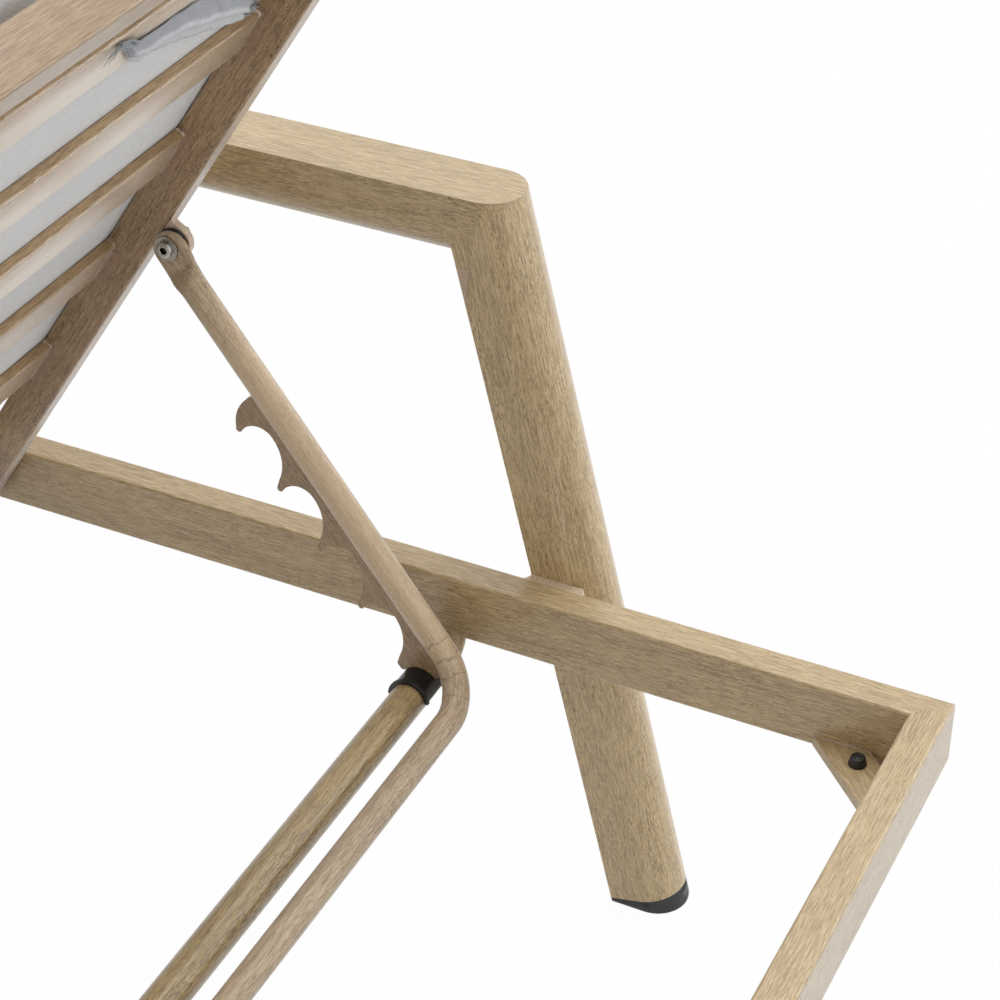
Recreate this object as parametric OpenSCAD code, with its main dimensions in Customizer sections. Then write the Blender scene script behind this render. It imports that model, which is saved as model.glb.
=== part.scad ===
/* [Frame] */
// Length of the lounger over its two end rails
frame_l = 2000; // [1900:10:2150]
// Width over the outer faces of the two side rails
frame_w = 640; // [600:10:700]
// Height of the frame's top face above the floor
rail_top = 300; // [280:5:330]
// Width of the frame's rectangular tube
rail_w = 25; // [22:1:30]
// Height of the frame's rectangular tube
rail_h = 52; // [46:1:60]
// Wall of the frame's rectangular tube
rail_wall = 2; // [1.5:0.1:3]
// Corner radius of the frame's rectangular tube
rail_round = 2.5; // [2.2:0.1:4]

/* [Arms and legs] */
// Width of the arm and leg profile, across the lounger
profile_w = 51; // [44:1:54]
// Depth of the arm and leg profile, from its flat face to its round one
profile_d = 51; // [46:1:56]
// Wall of the arm and leg profile
profile_wall = 2.5; // [2:0.1:3.5]
// Height of the arm's flat top above the floor
arm_top = 590; // [560:5:620]
// Length of the arm's flat top
arm_l = 704; // [660:2:760]
// Slant of every leg from upright
leg_slant = 13.7; // [8:0.1:16]
// Slant from upright of the joint between arm and leg
arm_cut = 26; // [24:0.5:30]
// Place along the lounger of the rear legs' flat face, at the frame's top
rear_leg_x = 677; // [650:1:700]
// Distance from the foot end to the front legs' flat face, at the frame's top
front_leg_in = 170; // [150:5:220]
// Gap between side rail and leg, filled by the spacer
leg_gap = 10; // [8:0.5:14]
// Height of the spacer
spacer_h = 44; // [36:1:46]
// Least height of the foot cap, at the leg's flat face
foot_cap_h = 4.5; // [3:0.5:8]
// Depth of the foot cap's plug in the leg
foot_plug_h = 26; // [15:1:40]

/* [Backrest] */
// Place along the lounger of the backrest's hinge
hinge_x = 230; // [200:5:260]
// Height of the hinge below the frame's top face
hinge_drop = 16; // [14:0.5:20]
// Slope of the backrest in its most upright position
recline_deg = 57; // [50:1:60]
// Width of the backrest's rectangular tube
back_rail_w = 20; // [18:1:22]
// Depth of the backrest's rectangular tube
back_rail_d = 30; // [28:1:32]
// Wall of the backrest's rectangular tube
back_wall = 1.8; // [1.5:0.1:2.5]
// Corner radius of the backrest's rectangular tube
back_round = 2; // [1.9:0.1:2.6]
// Depth of the hinge behind the backrest's front face
hinge_depth = 10; // [9:0.5:12]
// Gap between side rail and backrest
back_gap = 5; // [4:0.5:8]
// Gap between the lying backrest and the head rail
head_gap = 4; // [3:0.5:10]
// Length of the backrest's rails below the hinge
back_tail = 20; // [16:1:22]

/* [Slats] */
// Width of a slat
slat_w = 40; // [30:1:50]
// Thickness of a slat
slat_t = 8; // [6:0.5:10]
// Wall of a slat
slat_wall = 1.5; // [1.2:0.1:2]
// Corner radius of a slat
slat_round = 1.8; // [1.6:0.1:2.5]
// Upper edge of the backrest's lowest slat, above the hinge
slat_first = 49.8; // [46:0.2:60]
// Upper edge of the backrest's highest slat, below the backrest's upper end
slat_last = 94.2; // [88:0.2:120]
// Depth of the seat slats below the frame's top face
slat_drop = 6; // [2:0.5:10]
// Distance from the hinge to the nearest seat slat
seat_slat_gap = 42; // [34:1:60]

/* [Support bail] */
// Diameter of the bail's round tube
bail_d = 20; // [18:0.5:20]
// Wall of the bail's round tube
bail_wall = 2; // [1.5:0.1:2.5]
// Bend radius of the bail's corners, on the tube's centre line
bail_bend = 38; // [34:1:60]
// Distance from the bail's pivot to its cross part
bail_l = 386; // [384:1:400]
// Distance from the hinge to the bail's pivot, along the backrest
pivot_up = 326; // [322:1:332]
// Distance of the bail's pivot behind the backrest
pivot_back = 10.5; // [10:0.25:12]
// Distance of the bail's tube inwards from the middle of its flattened ends
tab_offset = 2.2; // [0:0.1:3]
// Thickness of the bail's flattened ends
tab_t = 5; // [4:0.5:6]
// Length of the bail's flattened ends, beyond the pivot
tab_l = 20; // [18:1:30]
// Length over which the tube widens into its flattened end
tab_blend = 12; // [10:1:24]
// Thickness of the comb plates
comb_t = 5; // [4:0.5:6]
// Distance from the pivot to the comb's first notch
notch_first = 152.3; // [150:0.1:158]
// Distance from one notch to the next
notch_pitch = 52.25; // [52:0.25:54]
// Distance from the fourth notch to the last one
notch_last_step = 56.8; // [56:0.2:60]
// Distance of the first notches from the bail's tube, to their centre
notch_out = 33; // [32:0.5:35]
// Distance of the last notch from the bail's tube, to its centre
notch_last_out = 35.3; // [34:0.1:37]
// Distance of the tooth tips from the tube's centre line
tooth_out = 42; // [41:0.5:44]

/* [Crossbar] */
// Diameter of the crossbar that the comb hooks onto
crossbar_d = 26; // [24:0.5:26.5]
// Wall of the crossbar
crossbar_wall = 2; // [1.5:0.1:2.5]
// Depth of the crossbar's centre line below the side rails
crossbar_drop = 22; // [20:0.5:28]
// Wall of the crossbar's sleeve
sleeve_wall = 1.9; // [1.5:0.1:2.1]
// Length of the crossbar's sleeve
sleeve_l = 46; // [40:1:50]
// Height of the rim at each end of the sleeve
sleeve_rim = 1.5; // [1:0.1:2]

/* [Corner gussets] */
// Length of a gusset along each rail
gusset_l = 65; // [55:1:80]
// Length cut off a gusset's corner, along each rail
gusset_cut = 22; // [16:1:28]
// Thickness of a gusset
gusset_t = 9; // [6:0.5:9]
// Diameter of the rubber buffer's foot
buffer_d = 13; // [11:0.5:15]
// Diameter of the rubber buffer's top
buffer_top_d = 10.5; // [9:0.5:11]

/* [Bolts] */
// Diameter of the bolts
bolt_d = 8; // [8:0.5:8]
// Diameter of the bolt heads
head_d = 14; // [13:0.5:15]
// Height of the bolt heads
head_h = 4.5; // [3.5:0.5:5]
// Width across the flats of the socket in the heads
socket_d = 5; // [4:0.5:6]
// Diameter of the washers
washer_d = 18; // [15.5:0.5:18]
// Thickness of the washers
washer_t = 1.5; // [1:0.1:1.6]
// Width across the flats of the nuts
nut_d = 13; // [12.5:0.5:13]
// Height of the nuts
nut_h = 6.5; // [5:0.5:7]
// Diameter of the plastic disc beside the bail's flattened end
disc_d = 22; // [20:0.5:25]
// Thickness of the plastic disc
disc_t = 4; // [3:0.5:5]
// Thickness of the lug plate
lug_t = 6; // [5:0.5:7]
// Radius of the lug plate around the pivot
lug_r = 12.5; // [12:0.5:14]

/* [Cushions] */
// Gap between the cushions and the inner faces of the side rails
cushion_gap = 6; // [6:0.5:20]
// Thickness of the cushions at their edges
cushion_t = 60; // [50:2:60]
// Height that the cushions rise towards their middle
cushion_crown = 8; // [2:1:12]
// Length of the back cushion beyond the backrest's upper end
cushion_over = 14; // [6:1:14]
// Width of the cloth strap
strap_w = 24; // [18:1:30]
// Length of the cloth strap
strap_l = 212; // [180:2:220]

/* [Hidden] */
$fn = 48;

// Number of slats in the seat
seat_slats = 10;
// Number of slats in the backrest
back_slats = 6;
// Number of notches in a comb
notches = 5;

// Clearances and overruns
run = 0.05;
face_gap = 0.2;
seat_gap = 0.3;
soft_gap = 0.4;
cut = 10;
far = 3000;

// Frame
rail_bottom = rail_top - rail_h;
inner_w = frame_w - 2 * rail_w;
half_l = frame_l / 2;
head_inner_x = half_l - rail_w;
foot_inner_x = -head_inner_x;

// Backrest, in its own place: X runs up from the hinge, Z towards the cushion
hinge_z = rail_top - hinge_drop;
back_front = hinge_depth;
back_rear = hinge_depth - back_rail_d;
back_mid = back_front - back_rail_d / 2;
back_w = inner_w - 2 * back_gap;
back_end = head_inner_x - head_gap - hinge_x;
slat_rear = back_front - slat_t;
slat_pitch = (back_end - slat_last - slat_first) / (back_slats - 1);

// Buffers carry the lying backrest
buffer_h = hinge_z + back_rear - seat_gap - rail_bottom - gusset_t;
buffer_x = head_inner_x - head_gap - back_rail_w - buffer_d / 4;
buffer_y = back_w / 2 - back_rail_w / 2;
dimple_d = buffer_top_d / 3;
dimple_h = buffer_h / 4;

// Pivot of the bail on the backrest, and the crossbar that its last notch holds
pivot_z = back_rear - pivot_back;
function turn_x(x, z, deg) = x * cos(deg) + z * sin(deg);
function turn_z(x, z, deg) = z * cos(deg) - x * sin(deg);
pivot_world_x = hinge_x + turn_x(pivot_up, pivot_z, -recline_deg);
pivot_world_z = hinge_z + turn_z(pivot_up, pivot_z, -recline_deg);
crossbar_z = rail_bottom - crossbar_drop;
notch_last = notch_first + (notches - 2) * notch_pitch + notch_last_step;
seat_reach = norm([notch_last, notch_last_out]);
crossbar_fall = pivot_world_z - crossbar_z;
crossbar_x = pivot_world_x + sqrt(pow(seat_reach, 2) - pow(crossbar_fall, 2));
bail_deg = atan2(crossbar_fall, crossbar_x - pivot_world_x) - atan2(notch_last_out, notch_last);
sleeve_r = crossbar_d / 2 + sleeve_wall;

// Places across the lounger, from the backrest's rail inwards
back_inner_y = back_w / 2 - back_rail_w;
tab_y = back_inner_y - disc_t - face_gap - tab_t / 2;
tube_y = tab_y - tab_offset;
washer_y = tab_y - tab_t / 2 - face_gap - washer_t;
sleeve_y = inner_w / 2 + rail_w / 2 - crossbar_drop - face_gap - sleeve_l;

// Arms and legs
leg_y = frame_w / 2 + leg_gap;
leg_level_d = profile_d / cos(leg_slant);
arm_bottom = arm_top - profile_d;
arm_rise = arm_top - rail_top;
arm_mid = rear_leg_x - arm_rise * tan(leg_slant) + leg_level_d - arm_l / 2;
arm_corner_x = rear_leg_x - (arm_bottom - rail_top) * tan(leg_slant);
foot_cut = (rail_top - foot_cap_h) / cos(leg_slant);
spacer_w = 40;
spacer_flare = 8;

// Seat slats
seat_slat_top = rail_top - slat_drop;
seat_first_x = hinge_x - seat_slat_gap - slat_w / 2;
seat_pitch = (seat_first_x + slat_w / 2 - foot_inner_x) / seat_slats;

// Comb
notch_r = sleeve_r + seat_gap;
flare_r = 34;
flare_deg = 60;
tip_r = 2.4;
tip_back = 16.2;
last_tip_w = 3.2;
crest_r = 29.8;
crest_back = 3.6;
crest_out = 14.8;

// Cushions
cushion_edge = 30;
cushion_seam = 6;
cushion_w = inner_w - 2 * cushion_gap;
cushion_draw = 4;
seat_cushion_front = foot_inner_x + soft_gap + cushion_draw;
seat_cushion_rear = hinge_x + 7;
back_cushion_low = 65;
strap_t = 1.4;
strap_tip_y = 26;
strap_up = 14;
strap_slope = 7;

wood = [0.76, 0.66, 0.50];
shade = [0.60, 0.50, 0.37];
black = [0.12, 0.12, 0.12];
steel = [0.68, 0.66, 0.62];
fabric = [0.80, 0.81, 0.82];
tape = [0.58, 0.61, 0.68];

// Rectangle with rounded corners, centred
module round_rect(w, h, r) {
    square([w - 2 * r, h], center = true);
    square([w, h - 2 * r], center = true);
    for (x = [-1, 1], y = [-1, 1])
        translate([x * (w / 2 - r), y * (h / 2 - r)]) circle(r);
}

// Rectangular tube along X from the origin, w across Y and h along Z
module rect_tube(l, w, h, wall, r) {
    rotate([90, 0, 90]) difference() {
        linear_extrude(l) round_rect(w, h, r);
        translate([0, 0, -cut]) linear_extrude(l + 2 * cut)
            square([w - 2 * wall, h - 2 * wall], center = true);
    }
}

// Both copies of a piece that is made on the right, at positive Y
module both_sides() {
    children();
    mirror([0, 1, 0]) children();
}

module on_side(left) {
    mirror([0, left ? 1 : 0, 0]) children();
}

// Plan of the lounger with its corners cut by the mitres, for one side rail
module side_mitre() {
    translate([0, 0, -far / 2]) linear_extrude(far) polygon([
        [-half_l, frame_w / 2], [half_l, frame_w / 2],
        [head_inner_x, inner_w / 2], [foot_inner_x, inner_w / 2]
    ]);
}

module side_rail(left) {
    color(wood) on_side(left) difference() {
        intersection() {
            translate([-half_l, frame_w / 2 - rail_w / 2, rail_top - rail_h / 2])
                rect_tube(frame_l, rail_w, rail_h, rail_wall, rail_round);
            side_mitre();
        }
        translate([hinge_x, frame_w / 2 + cut, hinge_z]) rotate([90, 0, 0])
            cylinder(h = rail_w + 2 * cut, d = bolt_d + 2 * face_gap);
    }
}

module end_rail(x_sign) {
    color(wood) intersection() {
        translate([x_sign * (half_l - rail_w / 2), -frame_w / 2, rail_top - rail_h / 2]) rotate([0, 0, 90])
            rect_tube(frame_w, rail_w, rail_h, rail_wall, rail_round);
        translate([0, 0, -far / 2]) linear_extrude(far) polygon([
            [x_sign * half_l, -frame_w / 2], [x_sign * half_l, frame_w / 2],
            [x_sign * head_inner_x, inner_w / 2], [x_sign * head_inner_x, -inner_w / 2]
        ]);
    }
}

// Slat across the lounger, centred on Y, its top face at Z zero and its middle at X zero
module slat(l) {
    translate([0, -l / 2, -slat_t / 2]) rotate([0, 0, 90])
        rect_tube(l, slat_w, slat_t, slat_wall, slat_round);
}

module seat_slat(i) {
    color(wood) translate([seat_first_x - (i - 1) * seat_pitch, 0, seat_slat_top]) slat(inner_w);
}

module gusset(left) {
    color(wood) on_side(left) translate([0, 0, rail_bottom]) linear_extrude(gusset_t) polygon([
        [head_inner_x - gusset_l, inner_w / 2], [head_inner_x - gusset_cut, inner_w / 2],
        [head_inner_x, inner_w / 2 - gusset_cut], [head_inner_x, inner_w / 2 - gusset_l]
    ]);
}

module buffer(left) {
    color(black) on_side(left) translate([buffer_x, buffer_y, rail_bottom + gusset_t]) difference() {
        cylinder(h = buffer_h, d1 = buffer_d, d2 = buffer_top_d);
        translate([0, 0, buffer_h - dimple_h]) cylinder(h = cut, d = dimple_d);
    }
}

// Outline of the arm and leg profile: flat at X zero, half round at the other side
module bullet(inset) {
    r = profile_w / 2 - inset;
    translate([inset, -r]) square([profile_d - profile_w / 2 - inset, 2 * r]);
    translate([profile_d - profile_w / 2, 0]) circle(r);
}

// Leg's full profile, its flat face through the origin's Y axis and its length along the slant
module leg_blank(inset) {
    rotate([0, -leg_slant, 0]) translate([0, leg_y + profile_w / 2, -far / 2])
        linear_extrude(far) bullet(inset);
}

// Everything above the cut that the leg's foot cap covers, with Z zero at the frame's top
module above_foot() {
    rotate([0, -leg_slant, 0]) translate([-far / 2, 0, -foot_cut]) cube(far);
}

// Everything on the leg's side of its joint with the arm, with Z zero at the frame's top
module beyond_arm() {
    translate([arm_corner_x - rear_leg_x, 0, arm_bottom - rail_top]) rotate([0, arm_cut, 0])
        translate([0, 0, -far / 2]) cube(far);
}

// Slab of world space between two heights above the frame's top
module between(low, high) {
    translate([-far / 2, 0, low]) cube([far, far, high - low]);
}

// Arm's profile from its middle to past the leg, with Z zero at the frame's top
module arm_blank(inset) {
    translate([arm_mid - rear_leg_x, leg_y + profile_w / 2, arm_rise]) rotate([0, 90, 0])
        linear_extrude(arm_l) bullet(inset);
}

module tall_leg() {
    difference() {
        intersection() {
            leg_blank(0);
            above_foot();
            beyond_arm();
            between(-rail_top, arm_rise - profile_wall);
        }
        leg_blank(profile_wall);
    }
}

// Places of the legs on the right: the middle and front ones slant towards the foot end
module at_rear_leg() {
    translate([rear_leg_x, 0, rail_top]) children();
}

module at_middle_leg() {
    translate([2 * arm_mid - rear_leg_x, 0, rail_top]) mirror([1, 0, 0]) children();
}

module at_front_leg() {
    translate([front_leg_in - half_l, 0, rail_top]) mirror([1, 0, 0]) children();
}

module rear_leg(left) {
    color(wood) on_side(left) at_rear_leg() tall_leg();
}

module middle_leg(left) {
    color(wood) on_side(left) at_middle_leg() tall_leg();
}

// Short leg at the foot end, closed at the frame's top
module front_leg(left) {
    color(wood) on_side(left) at_front_leg() difference() {
        intersection() {
            leg_blank(0);
            above_foot();
            between(-rail_top, 0);
        }
        intersection() {
            leg_blank(profile_wall);
            between(-rail_top, -profile_wall);
        }
    }
}

// Everything before the leg's half round, and the round itself
module within_leg() {
    rotate([0, -leg_slant, 0]) translate([profile_d - profile_w / 2 - far, 0, -far / 2]) cube(far);
    leg_blank(0);
}

// Half of the arm: its tube up to the joint, and its top wall run on over the leg
module half_arm() {
    difference() {
        intersection() {
            arm_blank(0);
            within_leg();
        }
        arm_blank(profile_wall);
        beyond_arm();
    }
    intersection() {
        leg_blank(0);
        between(arm_rise - profile_wall, arm_rise);
    }
}

module arm(left) {
    color(wood) on_side(left) {
        at_rear_leg() half_arm();
        at_middle_leg() half_arm();
    }
}

// Foot cap: the leg's outline down to the floor, and a plug in the leg
module foot_cap() {
    intersection() {
        leg_blank(0);
        between(-rail_top, arm_rise);
        rotate([0, -leg_slant, 0]) translate([-far / 2, 0, -foot_cut - far]) cube(far);
    }
    intersection() {
        leg_blank(profile_wall + face_gap);
        rotate([0, -leg_slant, 0]) translate([-far / 2, 0, -foot_cut - face_gap])
            cube([far, far, foot_plug_h]);
    }
}

module rear_foot_caps() {
    color(black) both_sides() at_rear_leg() foot_cap();
}

module middle_foot_caps() {
    color(black) both_sides() at_middle_leg() foot_cap();
}

module front_foot_caps() {
    color(black) both_sides() at_front_leg() foot_cap();
}

// Spacer between side rail and leg, flared to the rail by a round on each side
module spacer() {
    rotate([0, -leg_slant, 0]) translate([0, frame_w / 2, -spacer_h]) intersection() {
        linear_extrude(2 * spacer_h) difference() {
            translate([-spacer_flare, 0]) square([spacer_w + 2 * spacer_flare, leg_gap]);
            for (x = [-spacer_flare, spacer_w + spacer_flare]) translate([x, leg_gap]) circle(spacer_flare);
        }
        rotate([0, leg_slant, 0]) translate([-far / 2, 0, -far]) cube(2 * far);
    }
}

module level_spacer() {
    intersection() {
        spacer();
        between((spacer_h - rail_h) / 2 - spacer_h, (spacer_h - rail_h) / 2);
    }
}

module leg_spacers() {
    color(wood) both_sides() {
        at_rear_leg() level_spacer();
        at_middle_leg() level_spacer();
        at_front_leg() level_spacer();
    }
}

// Crossbar with an elbow up to each side rail
crossbar_end_y = frame_w / 2 - rail_w / 2 - crossbar_drop;

module crossbar_run(d) {
    translate([0, crossbar_end_y, 0]) rotate([90, 0, 0]) cylinder(h = 2 * crossbar_end_y, d = d);
    both_sides() translate([0, crossbar_end_y, crossbar_drop]) rotate([0, -90, 0]) rotate([0, 0, 180])
        rotate_extrude(angle = -90) translate([crossbar_drop, 0]) circle(d = d);
}

module crossbar() {
    color(wood) translate([crossbar_x, 0, crossbar_z]) difference() {
        crossbar_run(crossbar_d);
        crossbar_run(crossbar_d - 2 * crossbar_wall);
    }
}

module crossbar_sleeve(left) {
    inner = crossbar_d / 2 + run;
    rim_w = 2 * sleeve_rim;
    color(black) on_side(left) translate([crossbar_x, sleeve_y, crossbar_z]) rotate([-90, 0, 0])
        rotate([0, 0, 180]) rotate_extrude(angle = 180) {
            translate([inner, 0]) square([sleeve_r - inner, sleeve_l]);
            translate([inner, 0]) square([sleeve_r - inner + sleeve_rim, rim_w]);
            translate([inner, sleeve_l - rim_w]) square([sleeve_r - inner + sleeve_rim, rim_w]);
        }
}

// Puts a piece made in the backrest's own place where the backrest stands
module on_backrest() {
    translate([hinge_x, 0, hinge_z]) rotate([0, -recline_deg, 0]) children();
}

module back_rail(left) {
    bush_hole = bolt_d + 2 * bush_wall + 2 * run;
    color(shade) on_backrest() on_side(left) difference() {
        intersection() {
            translate([-back_tail, back_w / 2 - back_rail_w / 2, back_mid])
                rect_tube(back_end + back_tail, back_rail_w, back_rail_d, back_wall, back_round);
            translate([0, 0, -far / 2]) linear_extrude(far) polygon([
                [-back_tail, back_inner_y], [back_end - back_rail_w, back_inner_y],
                [back_end, back_w / 2], [-back_tail, back_w / 2]
            ]);
        }
        translate([0, back_w / 2 + cut, 0]) rotate([90, 0, 0])
            cylinder(h = back_rail_w + 2 * cut, d = bush_hole);
    }
}

module back_top_rail() {
    color(wood) on_backrest() intersection() {
        translate([back_end - back_rail_w / 2, -back_w / 2, back_mid]) rotate([0, 0, 90])
            rect_tube(back_w, back_rail_w, back_rail_d, back_wall, back_round);
        translate([0, 0, -far / 2]) linear_extrude(far) polygon([
            [back_end, -back_w / 2], [back_end, back_w / 2],
            [back_end - back_rail_w, back_inner_y], [back_end - back_rail_w, -back_inner_y]
        ]);
    }
}

module back_slat(i) {
    color(wood) on_backrest() translate([slat_first + (i - 1) * slat_pitch - slat_w / 2, 0, back_front])
        slat(2 * back_inner_y);
}

// Lug plate on the rear of a backrest rail, around the bail's pivot
module lug(left) {
    fillet = 4;
    base = lug_r + fillet;
    color(shade) on_backrest() on_side(left) translate([pivot_up, back_inner_y + lug_t, 0])
        rotate([90, 0, 0]) linear_extrude(lug_t) difference() {
            union() {
                intersection() {
                    translate([0, pivot_z]) circle(lug_r);
                    translate([-far / 2, back_rear - far]) square(far);
                }
                difference() {
                    translate([-base, back_rear - fillet]) square([2 * base, fillet]);
                    for (x = [-base, base]) translate([x, back_rear - fillet]) circle(fillet);
                }
                translate([-lug_r, pivot_z]) square([2 * lug_r, back_rear - pivot_z]);
            }
            translate([0, pivot_z]) circle(d = bolt_d + 2 * run);
        }
}

// Ring around a bolt that lies along Y, from the origin towards positive Y
module ring(d, h) {
    rotate([-90, 0, 0]) difference() {
        cylinder(h = h, d = d);
        translate([0, 0, -cut]) cylinder(h = h + 2 * cut, d = bolt_d + 2 * run);
    }
}

// Bolt along Y: its round-edged head lies towards negative Y from the origin
module bolt(l) {
    rotate([-90, 0, 0]) difference() {
        union() {
            cylinder(h = l, d = bolt_d);
            rotate_extrude() {
                translate([0, -head_h]) square([head_d / 2 - head_round, head_h]);
                translate([0, head_round - head_h]) square([head_d / 2, head_h - head_round]);
                intersection() {
                    translate([head_d / 2 - head_round, head_round - head_h]) circle(head_round);
                    translate([0, -head_h]) square([head_d / 2, head_h]);
                }
            }
        }
        translate([0, 0, -head_h - cut])
            cylinder(h = head_h * socket_share + cut, d = socket_d / cos(30), $fn = 6);
    }
}

module nut() {
    rotate([-90, 0, 0]) difference() {
        cylinder(h = nut_h, d = nut_d / cos(30), $fn = 6);
        translate([0, 0, -cut]) cylinder(h = nut_h + 2 * cut, d = bolt_d + 2 * run);
    }
}

head_round = 2.6;
socket_share = 0.6;
bush_wall = 1.6;
thread_end = 1.5;

// Hinge bolt: head outside the side rail, nut inside the backrest's rail
hinge_head_y = frame_w / 2 + washer_t;
hinge_nut_y = back_inner_y - face_gap - washer_t;

module at_hinge(y) {
    translate([hinge_x, y, hinge_z]) mirror([0, 1, 0]) children();
}

module hinge_bolts() {
    color(steel) both_sides() at_hinge(hinge_head_y) bolt(hinge_head_y - hinge_nut_y + nut_h + thread_end);
}

module hinge_washers() {
    color(steel) both_sides() {
        at_hinge(hinge_head_y) ring(washer_d, washer_t);
        at_hinge(hinge_nut_y + washer_t) ring(washer_d, washer_t);
    }
}

module hinge_nuts() {
    color(steel) both_sides() at_hinge(hinge_nut_y) nut();
}

// Flanged bush in each backrest rail, which turns on the hinge bolt
module hinge_bushes() {
    color(black) on_backrest() both_sides() {
        translate([0, back_inner_y, 0]) ring(bolt_d + 2 * bush_wall, back_rail_w);
        translate([0, back_w / 2, 0]) ring(bush_flange_d, back_gap - face_gap);
    }
}

bush_flange_d = 18;
plug_depth = 8;
plug_head = 2;

module rail_end_plugs() {
    plug_w = back_rail_w - 2 * back_wall - 2 * run;
    plug_d = back_rail_d - 2 * back_wall - 2 * run;
    color(black) on_backrest() both_sides()
        translate([-back_tail, back_w / 2 - back_rail_w / 2, back_mid]) rotate([90, 0, 90]) {
            translate([0, 0, -plug_head]) linear_extrude(plug_head)
                round_rect(back_rail_w, back_rail_d, back_round);
            linear_extrude(plug_depth) square([plug_w, plug_d], center = true);
        }
}

module at_pivot(y) {
    on_backrest() both_sides() translate([pivot_up, y, pivot_z]) children();
}

module pivot_bolts() {
    pivot_nut_y = back_inner_y + lug_t;
    color(steel) at_pivot(washer_y) bolt(pivot_nut_y + nut_h + thread_end - washer_y);
}

module pivot_washers() {
    color(steel) at_pivot(washer_y) ring(washer_d, washer_t);
}

module pivot_discs() {
    color(black) at_pivot(back_inner_y - disc_t) ring(disc_d, disc_t);
}

module pivot_nuts() {
    color(steel) at_pivot(back_inner_y + lug_t) nut();
}

// Bail, in its own place: X runs from the pivot along the tube, the comb faces negative Z
module on_bail() {
    translate([pivot_world_x, 0, pivot_world_z]) rotate([0, bail_deg, 0]) children();
}

tab_w = 28;
tab_nose = 11;

// One half of the bail's tube: side, bend and half of the cross part
module bail_half(d) {
    side_from = tab_l + tab_blend;
    translate([side_from, tube_y, 0]) rotate([0, 90, 0]) cylinder(h = bail_l - bail_bend - side_from, d = d);
    translate([bail_l - bail_bend, tube_y - bail_bend, 0]) rotate_extrude(angle = 90)
        translate([bail_bend, 0]) circle(d = d);
    translate([bail_l, 0, 0]) rotate([-90, 0, 0]) cylinder(h = tube_y - bail_bend, d = d);
}

// Flattened end around the pivot, and the stretch where the tube turns round
module bail_tab() {
    tab_r = tab_w / 2;
    slice = tab_t / 4;
    difference() {
        translate([0, tab_y + tab_t / 2, 0]) rotate([90, 0, 0]) linear_extrude(tab_t) intersection() {
            union() {
                translate([tab_r - tab_nose, 0]) circle(tab_r);
                translate([tab_r - tab_nose, -tab_r]) square([tab_l - tab_r + tab_nose, tab_w]);
            }
            translate([-tab_nose, -tab_r]) square([tab_l + tab_nose, tab_w]);
        }
        translate([0, tab_y + tab_t, 0]) rotate([90, 0, 0]) cylinder(h = 2 * tab_t, d = bolt_d + 2 * run);
    }
    hull($fn = 32) {
        translate([tab_l, tab_y - tab_t / 2, -tab_r]) cube([slice, tab_t, tab_w]);
        translate([tab_l + tab_blend - slice, tube_y, 0]) rotate([0, 90, 0]) cylinder(h = slice, d = bail_d);
    }
}

module bail_tube() {
    color(wood) on_bail() both_sides() {
        difference() {
            bail_half(bail_d);
            bail_half(bail_d - 2 * bail_wall);
        }
        bail_tab();
    }
}

// Comb outline: X along the tube from the pivot, Y out from the tube's centre line
module comb_outline() {
    root = bail_d / 2 + seat_gap;
    crown = tooth_out - tip_r;
    crest_x = notch_first - crest_back;
    first_tip = notch_first - tip_back;
    last_tip = notch_first + (notches - 1) * notch_pitch - tip_back;
    difference() {
        union() {
            translate([first_tip, root]) square([notch_last - first_tip, crown - root]);
            intersection() {
                translate([crest_x, crest_out]) circle(crest_r);
                translate([crest_x - crest_r, root]) square([first_tip - crest_x + crest_r, far]);
            }
        }
        for (i = [0 : notches - 2]) translate([notch_first + i * notch_pitch, notch_out]) notch();
        translate([notch_last, notch_last_out]) circle(notch_r);
    }
    for (i = [0 : notches - 1]) translate([first_tip + i * notch_pitch, crown]) circle(tip_r);
    translate([last_tip, crown - tip_r]) square([last_tip_w, 2 * tip_r]);
    translate([last_tip + last_tip_w, crown]) circle(tip_r);
    for (i = [0 : notches - 2]) translate([notch_first + i * notch_pitch, notch_out])
        polygon([next_tip + [0, -tip_r], next_tip, on_flare(1), on_flare(flare_share)]);
}

// Where a notch's flare ends, and the straight way from there onto the round tip of the next tooth
flare_end = [flare_r * sin(flare_deg), flare_r * (1 - cos(flare_deg)) - notch_r];
next_tip = [notch_pitch - tip_back, tooth_out - tip_r - notch_out];
flare_gap = next_tip - flare_end;
flare_reach = sqrt(pow(norm(flare_gap), 2) - pow(tip_r, 2));
flare_rise = atan2(flare_gap.y, flare_gap.x) + atan2(tip_r, flare_reach);
flare_way = [cos(flare_rise), sin(flare_rise)];
flare_share = 0.4;
function on_flare(share) = flare_end + share * flare_reach * flare_way;

// Room for the crossbar, hooked on the pivot's side and flared on the other
module notch() {
    circle(notch_r);
    intersection() {
        translate([0, flare_r - notch_r]) circle(flare_r);
        translate([0, -notch_r]) square([flare_end.x, flare_end.y + notch_r]);
    }
    polygon([[0, flare_end.y], flare_end, flare_end + far * flare_way, [0, far]]);
}

module comb(left) {
    color(shade) on_bail() on_side(left) translate([0, tube_y + comb_t / 2, 0]) rotate([90, 0, 0])
        linear_extrude(comb_t) mirror([0, 1, 0]) comb_outline();
}

// Positions along one side of a cushion: close together over the round edges
function spread(l, edge, fine, coarse) = concat(
    [for (i = [0 : fine]) edge * (1 - cos(90 * i / fine))],
    [for (i = [1 : coarse - 1]) edge + (l - 2 * edge) * i / coarse],
    [for (i = [fine : -1 : 0]) l - edge * (1 - cos(90 * i / fine))]
);
function fall(e, edge) = e >= edge ? 1 : sqrt(1 - pow(1 - e / edge, 2));
function fullness(x, y, l, w, edge) = fall(min(x, l - x), edge) * fall(min(y, w - y), edge);

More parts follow.
